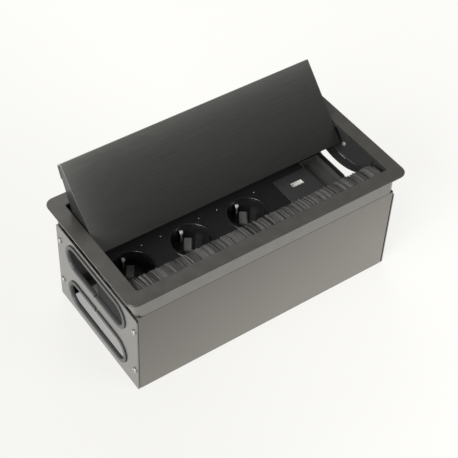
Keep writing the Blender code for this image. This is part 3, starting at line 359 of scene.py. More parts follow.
def rough_by(tree, shader, value, tone, share):
    """Roughness that follows a tone: duller where the surface is lighter."""
    swing = calculate(tree, "MULTIPLY", calculate(tree, "SUBTRACT", tone, 1.0), share)
    tree.links.new(calculate(tree, "ADD", swing, value), shader.inputs["Roughness"])


# %% A finish with a fine skin
DUST_COLOUR = tint(150, 148, 142)
SKIN_ROUGH_SHARE = 0.6


def skinned(
    name,
    colour,
    roughness,
    metallic=0.0,
    coat=0.0,
    grain=1500.0,
    depth=0.02,
    drift=0.12,
    patch=12.0,
    dusty=0.0,
    shade=None,
):
    """A finish with a fine skin, for paint, rubber and mouldings."""
    material, tree, shader = begin_material(name, roughness, metallic, coat)
    skin_inputs = {"Grain Scale": grain, "Drift Amount": drift, "Drift Scale": patch}
    skin = add_node(tree, "ShaderNodeGroup", skin_inputs, node_tree=FINE_SKIN)
    painted = toned(tree, colour, shaded(tree, skin.outputs["Tone"], shade))
    if dusty:
        dust = add_node(tree, "ShaderNodeGroup", node_tree=DUST)
        amount = calculate(tree, "MULTIPLY", dust.outputs["Mask"], dusty)
        specked = add_node(
            tree, "ShaderNodeMix", {"Factor": amount, "A": painted, "B": DUST_COLOUR}, data_type="RGBA"
        )
        painted = specked.outputs["Result"]
    tree.links.new(painted, shader.inputs["Base Color"])
    rough_by(tree, shader, roughness, skin.outputs["Tone"], SKIN_ROUGH_SHARE)
    bumped(tree, shader, skin.outputs["Height"], depth * MM)
    return material


# %% A finish with drawn grain
GRAIN_ROUGH_SHARE = 0.25


def brushed(name, colour, roughness, metallic, line_scale, stretch, amount, depth, shade=None):
    """A finish with drawn grain, for brushed and rolled metal."""
    material, tree, shader = begin_material(name, roughness, metallic)
    grain_inputs = {"Line Scale": line_scale, "Stretch": stretch, "Amount": amount}
    grain = add_node(tree, "ShaderNodeGroup", grain_inputs, node_tree=DRAWN_GRAIN)
    drawn = shaded(tree, grain.outputs["Tone"], shade)
    tree.links.new(toned(tree, colour, drawn), shader.inputs["Base Color"])
    rough_by(tree, shader, roughness, grain.outputs["Tone"], GRAIN_ROUGH_SHARE)
    bumped(tree, shader, grain.outputs["Height"], depth * MM)
    return material


# %% A finish whose tone is set in the mesh
STRAND_ROUGH_SHARE = 0.2


def stranded(name, colour, roughness, metallic=0.0):
    """A finish whose tone comes from the mesh: random tone strand by strand, and painted shade on the
    brush's sheet and station by station on the earth clips.
    """
    material, tree, shader = begin_material(name, roughness, metallic)
    strand = add_node(tree, "ShaderNodeAttribute", attribute_name="tone_and_painted_shade")
    tone = calculate(tree, "ADD", strand.outputs["Fac"], 1.0)
    skin = add_node(tree, "ShaderNodeGroup", node_tree=FINE_SKIN)
    speckled = calculate(tree, "MULTIPLY", tone, skin.outputs["Tone"])
    tree.links.new(toned(tree, colour, speckled), shader.inputs["Base Color"])
    rough_by(tree, shader, roughness, tone, STRAND_ROUGH_SHARE)
    return material


# %% The finishes themselves
# Painted shade: the lid's colour is darker at its low edge and lighter towards its top edge and its left
# end.
LID_PAINTED_SHADE = {"Level": 0.42, "Up Z": 0.56, "Rise": 0.8, "Foot": 0.106, "Height": 0.0609, "Edge": 0.62}
# Painted shade: the front and back plates take housing_paint, a little warmer, painted darker upwards
# and lighter towards the right.
FRONT_PAINTED_SHADE = {"Level": 1.08, "Up Z": -0.33, "Along X": 0.8, "Height": 0.1}
HOUSING = {"metallic": 0.8, "coat": 0.5, "depth": 0.008}
FINISH = {
    "frame_paint": skinned(
        "frame_paint", tint(124, 122, 117), 0.34, 0.8, coat=0.35, depth=0.012, drift=0.34, patch=90.0
    ),
    "cheek_paint": skinned("cheek_paint", tint(52, 53, 52), 0.4, metallic=0.3, coat=0.2),
    "housing_paint": skinned("housing_paint", tint(124, 122, 117), 0.3, **HOUSING),
    "front_paint_painted_shade": skinned("front_paint_painted_shade", tint(127, 122, 116), 0.3, shade=FRONT_PAINTED_SHADE, **HOUSING),
    "guide_paint": skinned("guide_paint", tint(70, 71, 70), 0.34, metallic=0.4, coat=0.3),
    "carrier_paint": skinned("carrier_paint", tint(30, 30, 31), 0.38, coat=0.2, dusty=0.5),
    "brushed_lid": brushed(
        "brushed_lid", tint(115, 115, 112), 0.42, 0.85, 2600.0, 60.0, 0.9, 0.02, LID_PAINTED_SHADE
    ),
    "rubber": skinned("rubber", tint(72, 74, 73), 0.42, grain=2200.0, depth=0.03),
    "bright_steel": brushed("bright_steel", tint(215, 213, 208), 0.22, 1.0, 1500.0, 12.0, 0.15, 0.006),
    "black_plastic": skinned(
        "black_plastic", tint(36, 36, 37), 0.22, grain=900.0, depth=0.004, dusty=0.4
    ),
    "grey_plastic": skinned("grey_plastic", tint(60, 61, 60), 0.42, grain=2600.0, dusty=0.3),
    "cover_plastic": skinned("cover_plastic", tint(38, 38, 39), 0.5, grain=2400.0, depth=0.03),
    "white_plastic": skinned("white_plastic", tint(236, 235, 230), 0.4, grain=2400.0, depth=0.01),
    "bristle": stranded("bristle", tint(86, 85, 83), 0.6),
    "clip_steel": stranded("clip_steel", tint(252, 250, 244), 0.32, metallic=0.25),
    "port_steel": skinned("port_steel", tint(248, 246, 242), 0.35, metallic=0.25, depth=0.004),
    # Painted light: the blocks in the wells are black plastic painted much lighter, for the light they
    # catch.
    "block_plastic_painted_light": skinned(
        "block_plastic_painted_light", tint(116, 116, 113), 0.26, grain=900.0, depth=0.03, drift=0.8
    ),
    # Painted light: the blank tray sits in a shaded recess, so it is painted lighter than grey_plastic.
    "tray_plastic_painted_light": skinned("tray_plastic_painted_light", tint(82, 82, 80), 0.4, grain=2600.0),
    "spring_steel": brushed("spring_steel", tint(176, 174, 168), 0.42, 0.6, 1500.0, 8.0, 0.15, 0.006),
    "brass": brushed("brass", tint(205, 168, 98), 0.3, 1.0, 1500.0, 10.0, 0.2, 0.008),
}
print("finishes made:", len(FINISH))

# %% [markdown]
# ## Dress the solids
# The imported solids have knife-sharp edges, which real folded and moulded parts never have. An edge
# only catches light if it has a little radius. A Bevel modifier would do on clean faces, but these
# solids are loose triangles. So for each solid in view, a merged copy gets a narrow bevel on its
# sharp edges, and stands in for the solid. Weighted normals keep the flats flat.


# %% Helpers that make pieces
def make_piece(name, mesh, body, slot, replaces=(), finish=None):
    """Turn a bmesh into a finished piece that rides on a body."""
    data = bpy.data.meshes.new(name)
    mesh.to_mesh(data)
    mesh.free()
    data.materials.append(FINISH[finish or slot])
    piece = bpy.data.objects.new(name, data)
    bpy.context.scene.collection.objects.link(piece)
    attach(piece, body)
    if replaces:
        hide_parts(*replaces)
    return piece


def smooth(piece, angle):
    """Round shading up to an angle, with normals that follow the large faces."""
    piece.data.shade_smooth()
    piece.data.set_sharp_from_angle(angle=math.radians(angle))
    weighted = piece.modifiers.new("weighted_normals", "WEIGHTED_NORMAL")
    weighted.keep_sharp = True


def bevel_sharp(mesh, radius, segments, angle):
    """Round the edges at which the surface turns by more than an angle."""
    sharp = [edge for edge in mesh.edges if edge.calc_face_angle(0.0) > math.radians(angle)]
    bmesh.ops.bevel(
        mesh,
        geom=sharp,
        offset=radius,
        segments=segments,
        profile=0.5,
        affect="EDGES",
        clamp_overlap=True,
        material=-1,
    )


# %% A rounded copy of a solid
MERGE_DISTANCE = 0.005 * MM
FLAT_ANGLE = 0.5
SHARP_ANGLE = 32.0
SMOOTH_ANGLE = 40.0
EDGE_SEGMENTS = 2
FINISH_OF = {
    # The front and back plates take the copy of housing_paint with painted shade.
    "front_plate": "front_paint_painted_shade",
    "back_plate": "front_paint_painted_shade",
    "lid_cheek_left": "cheek_paint",
    "lid_cheek_right": "cheek_paint",
    "usb_port_shell": "port_steel",
    # The blank tray takes the lighter grey with painted light.
    "blank_module": "tray_plastic_painted_light",
}


def merged_copy(node):
    """The solid of a node as one joined mesh with whole flat faces."""
    mesh = bmesh.new()
    mesh.from_mesh(frame["nodes"][node].data)
    bmesh.ops.remove_doubles(mesh, verts=mesh.verts, dist=MERGE_DISTANCE)
    flat = math.radians(FLAT_ANGLE)
    bmesh.ops.dissolve_limit(mesh, angle_limit=flat, verts=mesh.verts, edges=mesh.edges, delimit=set())
    return mesh


def round_edges(node, radius):
    """A copy of a node with its sharp edges rounded."""
    mesh = merged_copy(node)
    bevel_sharp(mesh, radius, EDGE_SEGMENTS, SHARP_ANGLE)
    body = frame["nodes"][node]["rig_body"]
    piece = make_piece(f"{node}_rounded", mesh, body, SLOT_OF[node], [node], FINISH_OF.get(node))
    smooth(piece, SMOOTH_ANGLE)
    return piece


# %% Rounded copies of the parts in view
EDGE_RADIUS = {
    "top_frame": 0.3,
    "front_plate": 0.25,
    "back_plate": 0.25,
    "end_plate_left": 0.2,
    "end_plate_right": 0.2,
    "lid_panel": 0.15,
    "lid_cheek_left": 0.12,
    "lid_cheek_right": 0.12,
    "lid_guide_left": 0.25,
    "lid_guide_right": 0.25,
    "carrier_plate": 0.2,
    "usb_module": 0.08,
    "blank_module": 0.25,
}
for node, radius in EDGE_RADIUS.items():
    piece = round_edges(node, radius * MM)
    print(piece.name, len(piece.data.polygons))

# %% Finishes on every solid that stays
for node, item in frame["nodes"].items():
    item.data.materials.clear()
    item.data.materials.append(FINISH[FINISH_OF.get(node, SLOT_OF[node])])
print("dressed:", len(frame["nodes"]))

# %% [markdown]
# ## Brush
# A cable brush is thousands of nylon bristles, clamped in a bar and bent a little by their own
# weight. They stick together in clumps about a millimetre wide. Each clump leans its own way and is a
# little lighter or darker than the next, which gives the brush its streaks. Hair particles could do
# this, but they bring no mesh along. So one clump is modelled bristle by bristle, from a small square
# that is extruded along a drooping curve. A few such clumps are repeated along the bar, over a thin
# sheet that stands for the bristles underneath.

# %% Sizes of the brush
BRISTLE_RADIUS = 0.15 * MM
BRISTLE_STEPS = 3
BRISTLE_SIDES = 4
CLUMPS = 222
BRISTLES_IN_CLUMP = 15
CLUMP_KINDS = 9
CLUMP_LAYER = 1.1 * MM
ROOT_STRIP = 5.4 * MM
LEFT_REACH = 4.2 * MM
RIGHT_REACH = 0.6 * MM
FALL_SHARE = 0.72
SEED = 5
brush_low, brush_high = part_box("brush_bristles")
brush_left = brush_low.x - LEFT_REACH
brush_right = brush_high.x + RIGHT_REACH
clump_pitch = (brush_right - brush_left) / CLUMPS
root_y = brush_low.y + ROOT_STRIP
top_z = brush_high.z - 0.5 * CLUMP_LAYER - BRISTLE_RADIUS
reach = brush_high.y - root_y
fall = (brush_high.z - brush_low.z) * FALL_SHARE
draw = random.Random(SEED)
print("brush reaches", round(reach / MM, 1), "mm and falls", round(fall / MM, 1), "mm")


# %% One bristle
def add_bristle(mesh, x, z, lean, length, droop):
    """A thin square filament from its root to its tip."""
    ring = bmesh.ops.create_circle(mesh, cap_ends=True, segments=BRISTLE_SIDES, radius=BRISTLE_RADIUS)
    quarter = Matrix.Rotation(math.pi / 2, 3, "X")
    bmesh.ops.rotate(mesh, verts=ring["verts"], cent=(0, 0, 0), matrix=quarter)
    bmesh.ops.translate(mesh, verts=ring["verts"], vec=(x, -ROOT_STRIP / 3, z))
    face = ring["verts"][0].link_faces[0]
    for step in range(1, BRISTLE_STEPS + 1):
        before, after = (step - 1) / BRISTLE_STEPS, step / BRISTLE_STEPS
        drawn = bmesh.ops.extrude_face_region(mesh, geom=[face, *face.edges, *face.verts])["geom"]
        verts = [part for part in drawn if isinstance(part, bmesh.types.BMVert)]
        drop = -droop * (after**2 - before**2)
        shift = Vector((lean * (after - before), length * (after - before), drop))
        if step == 1:
            shift.y += ROOT_STRIP / 3
        bmesh.ops.translate(mesh, verts=verts, vec=shift)
        face = [part for part in drawn if isinstance(part, bmesh.types.BMFace)][0]


# %% One clump, bristle by bristle
CLUMP_SPREAD = 0.44
BRISTLE_LEAN = 0.22
DRAWN_TOGETHER = 0.3
LENGTH_SHARES = (0.93, 0.97)
DROOP_SHARES = (0.85, 1.0)


def make_clump():
    """One clump of bristles about X = 0, with its root at Y = 0."""
    mesh = bmesh.new()
    for _ in range(BRISTLES_IN_CLUMP):
        x = draw.uniform(-CLUMP_SPREAD, CLUMP_SPREAD) * clump_pitch
        z = draw.uniform(-0.5, 0.5) * CLUMP_LAYER
        lean = draw.gauss(0.0, BRISTLE_LEAN) * MM - DRAWN_TOGETHER * x
        length = reach * draw.uniform(*LENGTH_SHARES)
        add_bristle(mesh, x, z, lean, length, fall * draw.uniform(*DROOP_SHARES))
    bmesh.ops.recalc_face_normals(mesh, faces=mesh.faces)
    data = bpy.data.meshes.new("clump")
    mesh.to_mesh(data)
    mesh.free()
    return data


clumps = [make_clump() for _ in range(CLUMP_KINDS)]
print("clumps:", len(clumps), "faces in each:", len(clumps[0].polygons))

# %% A sheet for the bristles underneath
SHEET_REACH = 0.9
SHEET_FALL = 0.95
SHEET_BELOW = 0.35 * MM
SHEET_THICKNESS = 0.3 * MM
# Painted shade: the sheet is painted darker than the bristles, for those underneath that lie in shade.
SHEET_PAINTED_SHADE = -0.35

brush = bmesh.new()
tone_and_painted_shade = brush.verts.layers.float.new("tone_and_painted_shade")
bmesh.ops.create_grid(brush, x_segments=1, y_segments=6, size=0.5)
for vert in brush.verts:
    across, share = vert.co.x + 0.5, vert.co.y + 0.5
    vert.co.x = brush_left + across * (brush_right - brush_left)
    vert.co.y = root_y + share * reach * SHEET_REACH
    vert.co.z = top_z - SHEET_BELOW - fall * SHEET_FALL * share**2
bmesh.ops.solidify(brush, geom=brush.faces[:], thickness=SHEET_THICKNESS)
bmesh.ops.recalc_face_normals(brush, faces=brush.faces)
for vert in brush.verts:
    vert[tone_and_painted_shade] = SHEET_PAINTED_SHADE
print("sheet faces:", len(brush.faces))

# %% The clumps along the bar
CLUMP_LEAN = (0.3, 0.36)
CLUMP_DROOP = (-0.06, 0.08)
CLUMP_STRETCH = (0.95, 1.02)
CLUMP_TONES = (-0.6, -0.15, 0.45)
TONE_SPREAD = (-0.15, 0.2)
LEAN_CURVE = 1.5


def add_clump(number):
    """One of the clumps at its place along the bar, leaned, bent and toned by chance."""
    first = len(brush.verts)
    brush.from_mesh(clumps[draw.randrange(CLUMP_KINDS)])
    brush.verts.ensure_lookup_table()
    added = brush.verts[first:]
    x = brush_left + (number + 0.5) * clump_pitch
    bmesh.ops.translate(brush, verts=added, vec=(x, root_y, top_z))
    lean = draw.gauss(*CLUMP_LEAN) * MM
    droop = draw.uniform(*CLUMP_DROOP)
    stretch = draw.uniform(*CLUMP_STRETCH)
    tone = draw.choice(CLUMP_TONES) + draw.uniform(*TONE_SPREAD)
    for vert in added:
        share = max(0.0, (vert.co.y - root_y) / reach)
        vert.co.x += lean * share**LEAN_CURVE
        if share:
            vert.co.y = root_y + (vert.co.y - root_y) * stretch
        vert.co.z += droop * fall * share**2
        vert.co.x = min(max(vert.co.x, brush_left), brush_right)
        vert[tone_and_painted_shade] = tone


for number in range(CLUMPS):
    add_clump(number)
for data in clumps:
    bpy.data.meshes.remove(data)
bristles = make_piece("brush_filaments", brush, "box", "bristle", ["brush_bristles"])
print("bristles:", CLUMPS * BRISTLES_IN_CLUMP, "faces:", len(bristles.data.polygons))

# %% [markdown]
# ## Screws
# The end plates and the lid guides are held by plated pan-head screws with a cross recess, and small
# ones of the same kind hold the socket plate. A plain disc would do from far away, but close up the
# head has to be domed and the cross has to catch the light. The head is a profile that is spun about
# its axis, and the recess is cut with a tapered cross made from a small grid with its four corners
# removed. Crosses never line up on a real box, so each screw is turned by chance.

# %% The cross recess
CROSS_CELLS = 3
CORNER_ZONE = 0.1
ARM_WIDTH = 0.14
INNER_ZONE = 0.3
CROSS_TAPER = 0.55


def recess_tool(width, depth):
    """A tapered cross that points down from Z = 0."""
    mesh = bmesh.new()
    bmesh.ops.create_grid(mesh, x_segments=CROSS_CELLS, y_segments=CROSS_CELLS, size=width / 2)
    zone = width * CORNER_ZONE
    corners = [face for face in mesh.faces if min(map(abs, face.calc_center_median()[:2])) > zone]
    bmesh.ops.delete(mesh, geom=corners, context="FACES")
    arm = width * ARM_WIDTH
    for vert in mesh.verts:
        for axis in (0, 1):
            if abs(vert.co[axis]) < width * INNER_ZONE:
                vert.co[axis] = math.copysign(arm / 2, vert.co[axis])
    whole = mesh.faces[:] + mesh.edges[:] + mesh.verts[:]
    drawn = bmesh.ops.extrude_face_region(mesh, geom=whole)["geom"]
    verts = [part for part in drawn if isinstance(part, bmesh.types.BMVert)]
    bmesh.ops.translate(mesh, verts=verts, vec=(0.0, 0.0, -depth))
    bmesh.ops.scale(mesh, verts=verts, vec=(CROSS_TAPER, CROSS_TAPER, 1.0))
    bmesh.ops.recalc_face_normals(mesh, faces=mesh.faces)
    return mesh


# %% The head and its shank
HEAD_PROFILE = ((0.0, 1.0), (0.3, 0.985), (0.6, 0.9), (0.84, 0.72), (0.97, 0.45), (1.0, 0.25))
HEAD_STEPS = 28
SEAT_LIFT = 0.02 * MM
SEAT_CHAMFER = 0.1 * MM
SPIN_MERGE = 0.001 * MM


def screw_head(radius, height, shank, length):
    """Head and shank about Z, with the head's seat at Z = 0."""
    points = [(radius * across, height * up) for across, up in HEAD_PROFILE]
    points += [(radius, SEAT_LIFT), (radius - SEAT_CHAMFER, 0.0)]
    points += [(shank, 0.0), (shank, -length), (0.0, -length)]
    mesh = bmesh.new()
    verts = [mesh.verts.new((x, 0.0, z)) for x, z in points]
    edges = [mesh.edges.new(pair) for pair in zip(verts, verts[1:])]
    bmesh.ops.spin(
        mesh,
        geom=verts + edges,
        cent=(0, 0, 0),
        axis=(0, 0, 1),
        angle=math.tau,
        steps=HEAD_STEPS,
        use_merge=True,
    )
    bmesh.ops.remove_doubles(mesh, verts=mesh.verts, dist=SPIN_MERGE)
    bmesh.ops.recalc_face_normals(mesh, faces=mesh.faces)
    return mesh


def as_object(name, mesh):
    """A bare object from a bmesh."""
    data = bpy.data.meshes.new(name)
    mesh.to_mesh(data)
    mesh.free()
    item = bpy.data.objects.new(name, data)
    bpy.context.scene.collection.objects.link(item)
    return item


# %% The finished screw
RECESS_WIDTH = 1.15
RECESS_DEPTH = 0.7
RECESS_TOP = 1.02
SCREW_SMOOTH_ANGLE = 35.0


def make_screw(size):
    """A screw about the origin, from its radius, height, shank radius and length in mm."""
    radius, height, shank, length = (value * MM for value in size)
    head = as_object("head", screw_head(radius, height, shank, length))
    cross = recess_tool(radius * RECESS_WIDTH, height * RECESS_DEPTH)
    bmesh.ops.translate(cross, verts=cross.verts, vec=(0.0, 0.0, height * RECESS_TOP))
    tool = as_object("recess", cross)
    cut = head.modifiers.new("recess", "BOOLEAN")
    cut.object = tool
    cut.solver = "EXACT"
    bpy.context.view_layer.update()
    seen = head.evaluated_get(bpy.context.evaluated_depsgraph_get())
    data = bpy.data.meshes.new_from_object(seen)
    for item in (head, tool):
        bpy.data.objects.remove(item, do_unlink=True)
    return data


def place_screw(name, data, seat, direction, replaces=(), finish=None):
    """A screw with its head's seat at a point, facing a direction, turned by chance."""
    mesh = bmesh.new()
    mesh.from_mesh(data)
    turn = Matrix.Rotation(draw.uniform(0.0, math.tau), 4, "Z")
    face = Vector(direction).to_track_quat("Z", "Y").to_matrix().to_4x4()
    bmesh.ops.transform(mesh, matrix=Matrix.Translation(seat) @ face @ turn, verts=mesh.verts)
    piece = make_piece(name, mesh, "box", "bright_steel", replaces, finish)
    smooth(piece, SCREW_SMOOTH_ANGLE)
    return piece


# %% End-plate screws and guide screws
END_SCREW = (3.0, 1.9, 1.4, 5.0)
GUIDE_SCREW = (2.4, 1.3, 1.2, 3.1)
GUIDE_HEAD = 1.1 * MM

end_screw = make_screw(END_SCREW)
guide_screw = make_screw(GUIDE_SCREW)
screws = []
for label, side in (("left", -1.0), ("right", 1.0)):
    plate_low, plate_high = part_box(f"end_plate_{label}")
    for number in range(1, 5):
        node = f"end_screw_{label}_{number}"
        low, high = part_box(node)
        seat = (low + high) / 2
        seat.x = plate_high.x if side > 0 else plate_low.x
        screws.append(
            place_screw(f"{node}_cross", end_screw, seat, (side, 0, 0), [node], "spring_steel")
        )
    node = f"guide_screw_{label}"
    low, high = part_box(node)
    seat = (low + high) / 2
    seat.x = low.x + GUIDE_HEAD if side > 0 else high.x - GUIDE_HEAD
    screws.append(place_screw(f"{node}_cross", guide_screw, seat, (-side, 0, 0), [node], "spring_steel"))
print("screws:", len(screws))

# %% Small screws of the socket plate
WELLS = (1, 2, 3)
PLATE_SCREW = (1.3, 0.9, 0.8, 2.5)
SCREW_X = 21.3
SCREW_Y = 19.6

carrier_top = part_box("carrier_plate")[1].z
plate_screw = make_screw(PLATE_SCREW)
corners = [(x, y) for y in (-SCREW_Y, SCREW_Y) for x in (-SCREW_X, SCREW_X)]
for number in WELLS:
    low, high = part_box(f"socket_insert_{number}")
    centre = (low + high) / 2
    for corner, (x, y) in enumerate(corners, start=1):
        seat = Vector((centre.x + x * MM, centre.y + y * MM, carrier_top))
        place_screw(f"plate_screw_{number}_{corner}", plate_screw, seat, (0, 0, 1))
print("plate screws:", len(WELLS) * len(corners))

# %% [markdown]
# ## Earth clips
# An earth clip is one sprung strip that passes under the socket and stands up at both sides of the
# well. Its tips are rolled into rounded noses, which shine. It could be a curve with a bevel, but the
# strip changes its width and thickness along the way. So it is a loft: rounded sections at a few
# stations, joined by faces. Each station also gives a tone, a painted shade that darkens the strip
# below the nose, as only the nose catches the light.

# %% A loft through rounded rings
RING_SIDES = 14
RING_SQUARENESS = 0.6


def add_loft(mesh, painted_shade_layer, stations):
    """Bridge rounded rings, each with its centre, half width, half thickness and tone, the painted shade
    of its station.
    """
    rings = []
    for centre, wide, thick, tone in stations:
        ring = bmesh.ops.create_circle(mesh, cap_ends=False, segments=RING_SIDES, radius=1.0)
        for vert in ring["verts"]:
            across, through = (
                math.copysign(abs(value) ** RING_SQUARENESS, value) for value in vert.co[:2]
            )
            vert.co = centre + wide * across + thick * through
            vert[painted_shade_layer] = tone
        rings.append(list(dict.fromkeys(edge for vert in ring["verts"] for edge in vert.link_edges)))
    for low, high in zip(rings, rings[1:]):
        bmesh.ops.bridge_loops(mesh, edges=low + high)
    bmesh.ops.holes_fill(mesh, edges=rings[0] + rings[-1], sides=RING_SIDES)


# %% Stations of a clip
# From the tip of the nose to the foot: Y from the middle of the well, Z, width and thickness in
# millimetres, and the tone, a painted shade that darkens the strip below the nose. The other half is
# the same, mirrored.
STEM = (
    (19.2, 70.9, 1.4, 0.4, -0.5),
    (19.1, 71.9, 2.6, 0.8, -0.2),
    (18.6, 72.7, 3.0, 1.2, 0.0),
    (17.9, 72.8, 3.3, 1.6, 0.0),
    (17.2, 72.2, 3.5, 1.8, 0.0),
    (16.9, 71.2, 3.4, 1.8, 0.0),
    (16.9, 70.2, 2.8, 1.3, -0.1),
    (17.1, 68.6, 2.0, 0.8, -0.7),
    (16.9, 62.0, 1.8, 0.7, -0.8),
    (17.0, 56.0, 2.4, 0.6, -0.86),
    (17.7, 50.0, 3.6, 0.6, -0.9),
    (18.2, 46.0, 4.5, 0.6, -0.9),
    (18.2, 43.7, 4.5, 0.6, -0.9),
    (17.6, 43.1, 4.5, 0.6, -0.9),
)
STRIP = list(STEM) + [(-y, *rest) for y, *rest in STEM[::-1]]
print("stations:", len(STRIP))

# %% The clips of the three wells
CLIP_SMOOTH_ANGLE = 50.0


def well_middle(number, height):
    """The middle of a well, at a height."""
    low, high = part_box(f"earth_clip_{number}")
    return Vector(((low.x + high.x) / 2, (low.y + high.y) / 2, height))


def make_clip(number):
    """The earth clip of one well, with rolled noses."""
    clip = bmesh.new()
    painted_shade_layer = clip.verts.layers.float.new("tone_and_painted_shade")
    middle = well_middle(number, 0.0)
    stations = []
    for place, (y, z, width, thick, tone) in enumerate(STRIP):
        before, after = STRIP[max(place - 1, 0)], STRIP[min(place + 1, len(STRIP) - 1)]
        along = Vector((0.0, after[0] - before[0], after[1] - before[1])).normalized()
        out = Vector((0.0, -along.z, along.y))
        wide = Vector((width * MM / 2, 0.0, 0.0))
        stations.append((middle + Vector((0.0, y, z)) * MM, wide, out * thick * MM / 2, tone))
    add_loft(clip, painted_shade_layer, stations)
    bmesh.ops.recalc_face_normals(clip, faces=clip.faces)
    node = f"earth_clip_{number}"
    piece = make_piece(f"{node}_rolled", clip, "box", SLOT_OF[node], [node], "clip_steel")
    smooth(piece, CLIP_SMOOTH_ANGLE)
    return piece


clips = [make_clip(number) for number in WELLS]
print("clips:", len(clips), "faces in each:", len(clips[0].data.polygons))

# %% [markdown]
# ## Blocks in the wells
# A small moulded block stands on the floor of each well, at a slant. It is black plastic painted
# much lighter, as painted light for the little light it catches. A block like this is inset on its
# top, and the inner face is raised to a step, which takes two operators. A narrow bevel then softens
# it as a mould would.

# %% The stepped block on the floor of each well
WELL_FLOOR = 59.7 * MM
BLOCK_HALF = Vector((4.0, 8.2, 1.7)) * MM
BLOCK_PLACE = Vector((1.6, 8.2, 0.0)) * MM
BLOCK_TURN = -34.0
BLOCK_RIM = 1.1 * MM
BLOCK_STEP = 1.0 * MM
BLOCK_EDGE = 0.35 * MM
BLOCK_SEGMENTS = 3


def make_block(number):
    """The stepped block of one well."""
    block = bmesh.new()
    bmesh.ops.create_cube(block, size=2.0)
    bmesh.ops.scale(block, verts=block.verts, vec=BLOCK_HALF)
    top = [face for face in block.faces if face.normal.z > 0.9]
    bmesh.ops.inset_region(block, faces=top, thickness=BLOCK_RIM)
    raised = bmesh.ops.extrude_face_region(block, geom=top)["geom"]
    bmesh.ops.delete(block, geom=top, context="FACES")
    verts = [part for part in raised if isinstance(part, bmesh.types.BMVert)]
    bmesh.ops.translate(block, verts=verts, vec=(0.0, 0.0, BLOCK_STEP))
    bevel_sharp(block, BLOCK_EDGE, BLOCK_SEGMENTS, SMOOTH_ANGLE)
    turn = Matrix.Rotation(math.radians(BLOCK_TURN), 4, "Z")
    place = Matrix.Translation(well_middle(number, WELL_FLOOR + BLOCK_HALF.z) + BLOCK_PLACE)
    bmesh.ops.transform(block, matrix=place @ turn, verts=block.verts)
    piece = make_piece(f"well_block_{number}", block, "box", "black_plastic", finish="block_plastic_painted_light")
    smooth(piece, SMOOTH_ANGLE)
    return piece


blocks = [make_block(number) for number in WELLS]
print("blocks:", len(blocks), "faces in each:", len(blocks[0].data.polygons))

# %% [markdown]
# ## Floor
# The box stands on a white sweep in a softly lit studio. More light would turn the floor white, but
# the box too. So the floor has its own brightness, which only the camera and mirrored rays see, and
# it still takes the shadow of the box. Under the box that brightness is turned down, a painted
# shadow, with painted light near the ends where a little light comes in through the cable ovals. In
# the open it is painted a little lighter towards the right, a painted pool of light.

# %% Floor
FLOOR_HALF = 4.0
PAPER = (0.8, 0.8, 0.79, 1.0)
PAPER_IN_VIEW = (0.22, 0.22, 0.217, 1.0)
PAPER_GLOW = (1.0, 0.993, 0.965, 1.0)
FOOTPRINT_X = 0.139
FOOTPRINT_Y = 0.068
# Painted shade and light on the floor's glow: dark under the box, lighter near its ends below the cable
# ovals, and in the open a little lighter towards the right.
UNDER_BOX_PAINTED_SHADE = {"From Min": 0.119, "From Max": 0.13, "To Min": 0.02, "To Max": 0.4}
OPEN_FLOOR_PAINTED_LIGHT = {"From Min": -0.4, "From Max": 0.15, "To Min": 0.62, "To Max": 0.75}


def eased(tree, value, span):
    """A value carried over from one span to another, with soft ends."""
    inputs = {"Value": value, **span}
    return add_node(tree, "ShaderNodeMapRange", inputs, interpolation_type="SMOOTHSTEP").outputs[0]


def floor_level(tree):
    """How brightly the floor glows: a painted shadow under the box, with painted light near its ends,
    and a painted pool of light in the open.
    """
    axes = object_axes(tree)
    away_x = calculate(tree, "ABSOLUTE", axes["X"])
    away_y = calculate(tree, "ABSOLUTE", axes["Y"])
    beside = calculate(tree, "GREATER_THAN", away_x, FOOTPRINT_X)
    before = calculate(tree, "GREATER_THAN", away_y, FOOTPRINT_Y)
    outside = calculate(tree, "MAXIMUM", beside, before)
    under, open_floor = eased(tree, away_x, UNDER_BOX_PAINTED_SHADE), eased(tree, axes["X"], OPEN_FLOOR_PAINTED_LIGHT)
    level = add_node(tree, "ShaderNodeMix", {"Factor": outside, "A": under, "B": open_floor})
    return level.outputs[0]


floor_mesh = bmesh.new()
bmesh.ops.create_grid(floor_mesh, x_segments=1, y_segments=1, size=FLOOR_HALF)
floor = as_object("floor", floor_mesh)
paper = bpy.data.materials.new("paper")
paper.use_nodes = True
tree = paper.node_tree
tree.nodes.clear()
path = add_node(tree, "ShaderNodeLightPath")
seen = calculate(tree, "MAXIMUM", path.outputs["Is Camera Ray"], path.outputs["Is Glossy Ray"])
seen = calculate(tree, "MAXIMUM", seen, path.outputs["Is Transmission Ray"])
matt = add_node(tree, "ShaderNodeBsdfDiffuse", {"Color": PAPER})
shadowed = add_node(tree, "ShaderNodeBsdfDiffuse", {"Color": PAPER_IN_VIEW})
glow = add_node(tree, "ShaderNodeEmission", {"Color": PAPER_GLOW, "Strength": floor_level(tree)})
shown = add_node(tree, "ShaderNodeAddShader", {0: shadowed.outputs[0], 1: glow.outputs[0]})
mixed = add_node(tree, "ShaderNodeMixShader", {0: seen, 1: matt.outputs[0], 2: shown.outputs[0]})
add_node(tree, "ShaderNodeOutputMaterial", {"Surface": mixed.outputs[0]})
floor.data.materials.append(paper)
print("floor:", floor.name)

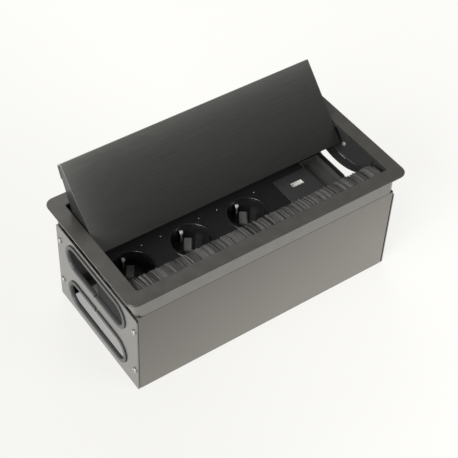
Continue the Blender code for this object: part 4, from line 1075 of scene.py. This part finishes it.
# %% [markdown]
# ## Lamps and world
# Light comes mostly from the left, through one large soft box, with a weaker one in front and one
# behind. Their level is the one at which a colour looks as it is written. Dark paint shows mostly
# what it mirrors, so the world is split by Light Path: an even grey lights the box, a dark room is
# what it mirrors, and a pale wall is what the camera sees. One small lamp behind is only mirrored,
# and puts the white shine on the right side of the flange.

# %% Lamps
LAMP_AIM = Vector((0.0, 0.0, 0.08))


def add_softbox(name, place, width, height, power, mirrored=False):
    """A rectangular soft light that faces the box, and that gloss mirrors only if asked."""
    light = bpy.data.lights.new(name, "AREA")
    light.shape = "RECTANGLE"
    light.size = width
    light.size_y = height
    light.energy = power
    lamp = bpy.data.objects.new(name, light)
    lamp.location = place
    lamp.rotation_euler = (LAMP_AIM - lamp.location).to_track_quat("-Z", "Y").to_euler()
    lamp.visible_glossy = mirrored
    bpy.context.scene.collection.objects.link(lamp)
    return lamp


lamps = [
    add_softbox("key", (-1.5, -0.5, 1.1), 1.2, 0.9, 34.0, mirrored=True),
    add_softbox("fill", (0.9, -1.4, 0.9), 1.0, 0.8, 9.0),
    add_softbox("back", (0.6, 1.5, 1.2), 1.4, 0.8, 12.0),
    add_softbox("rear_glow", (0.27, 1.55, 1.23), 0.5, 0.5, 1.8, mirrored=True),
]
lamps[-1].visible_diffuse = False
print("lamps:", [lamp.name for lamp in lamps])

# %% World
ROOM_LIGHT = (0.45, 0.45, 0.445, 1.0)
ROOM_MIRRORED = (0.16, 0.16, 0.158, 1.0)
ROOM_SEEN = (0.95, 0.95, 0.94, 1.0)

world = bpy.data.worlds.new("room")
world.use_nodes = True
bpy.context.scene.world = world
tree = world.node_tree
tree.nodes.clear()
path = add_node(tree, "ShaderNodeLightPath")
surface = add_node(tree, "ShaderNodeBackground", {"Color": ROOM_LIGHT}).outputs[0]
for ray, colour in (("Is Glossy Ray", ROOM_MIRRORED), ("Is Camera Ray", ROOM_SEEN)):
    other = add_node(tree, "ShaderNodeBackground", {"Color": colour})
    inputs = {0: path.outputs[ray], 1: surface, 2: other.outputs[0]}
    surface = add_node(tree, "ShaderNodeMixShader", inputs).outputs[0]
add_node(tree, "ShaderNodeOutputWorld", {"Surface": surface})
print("world:", world.name)
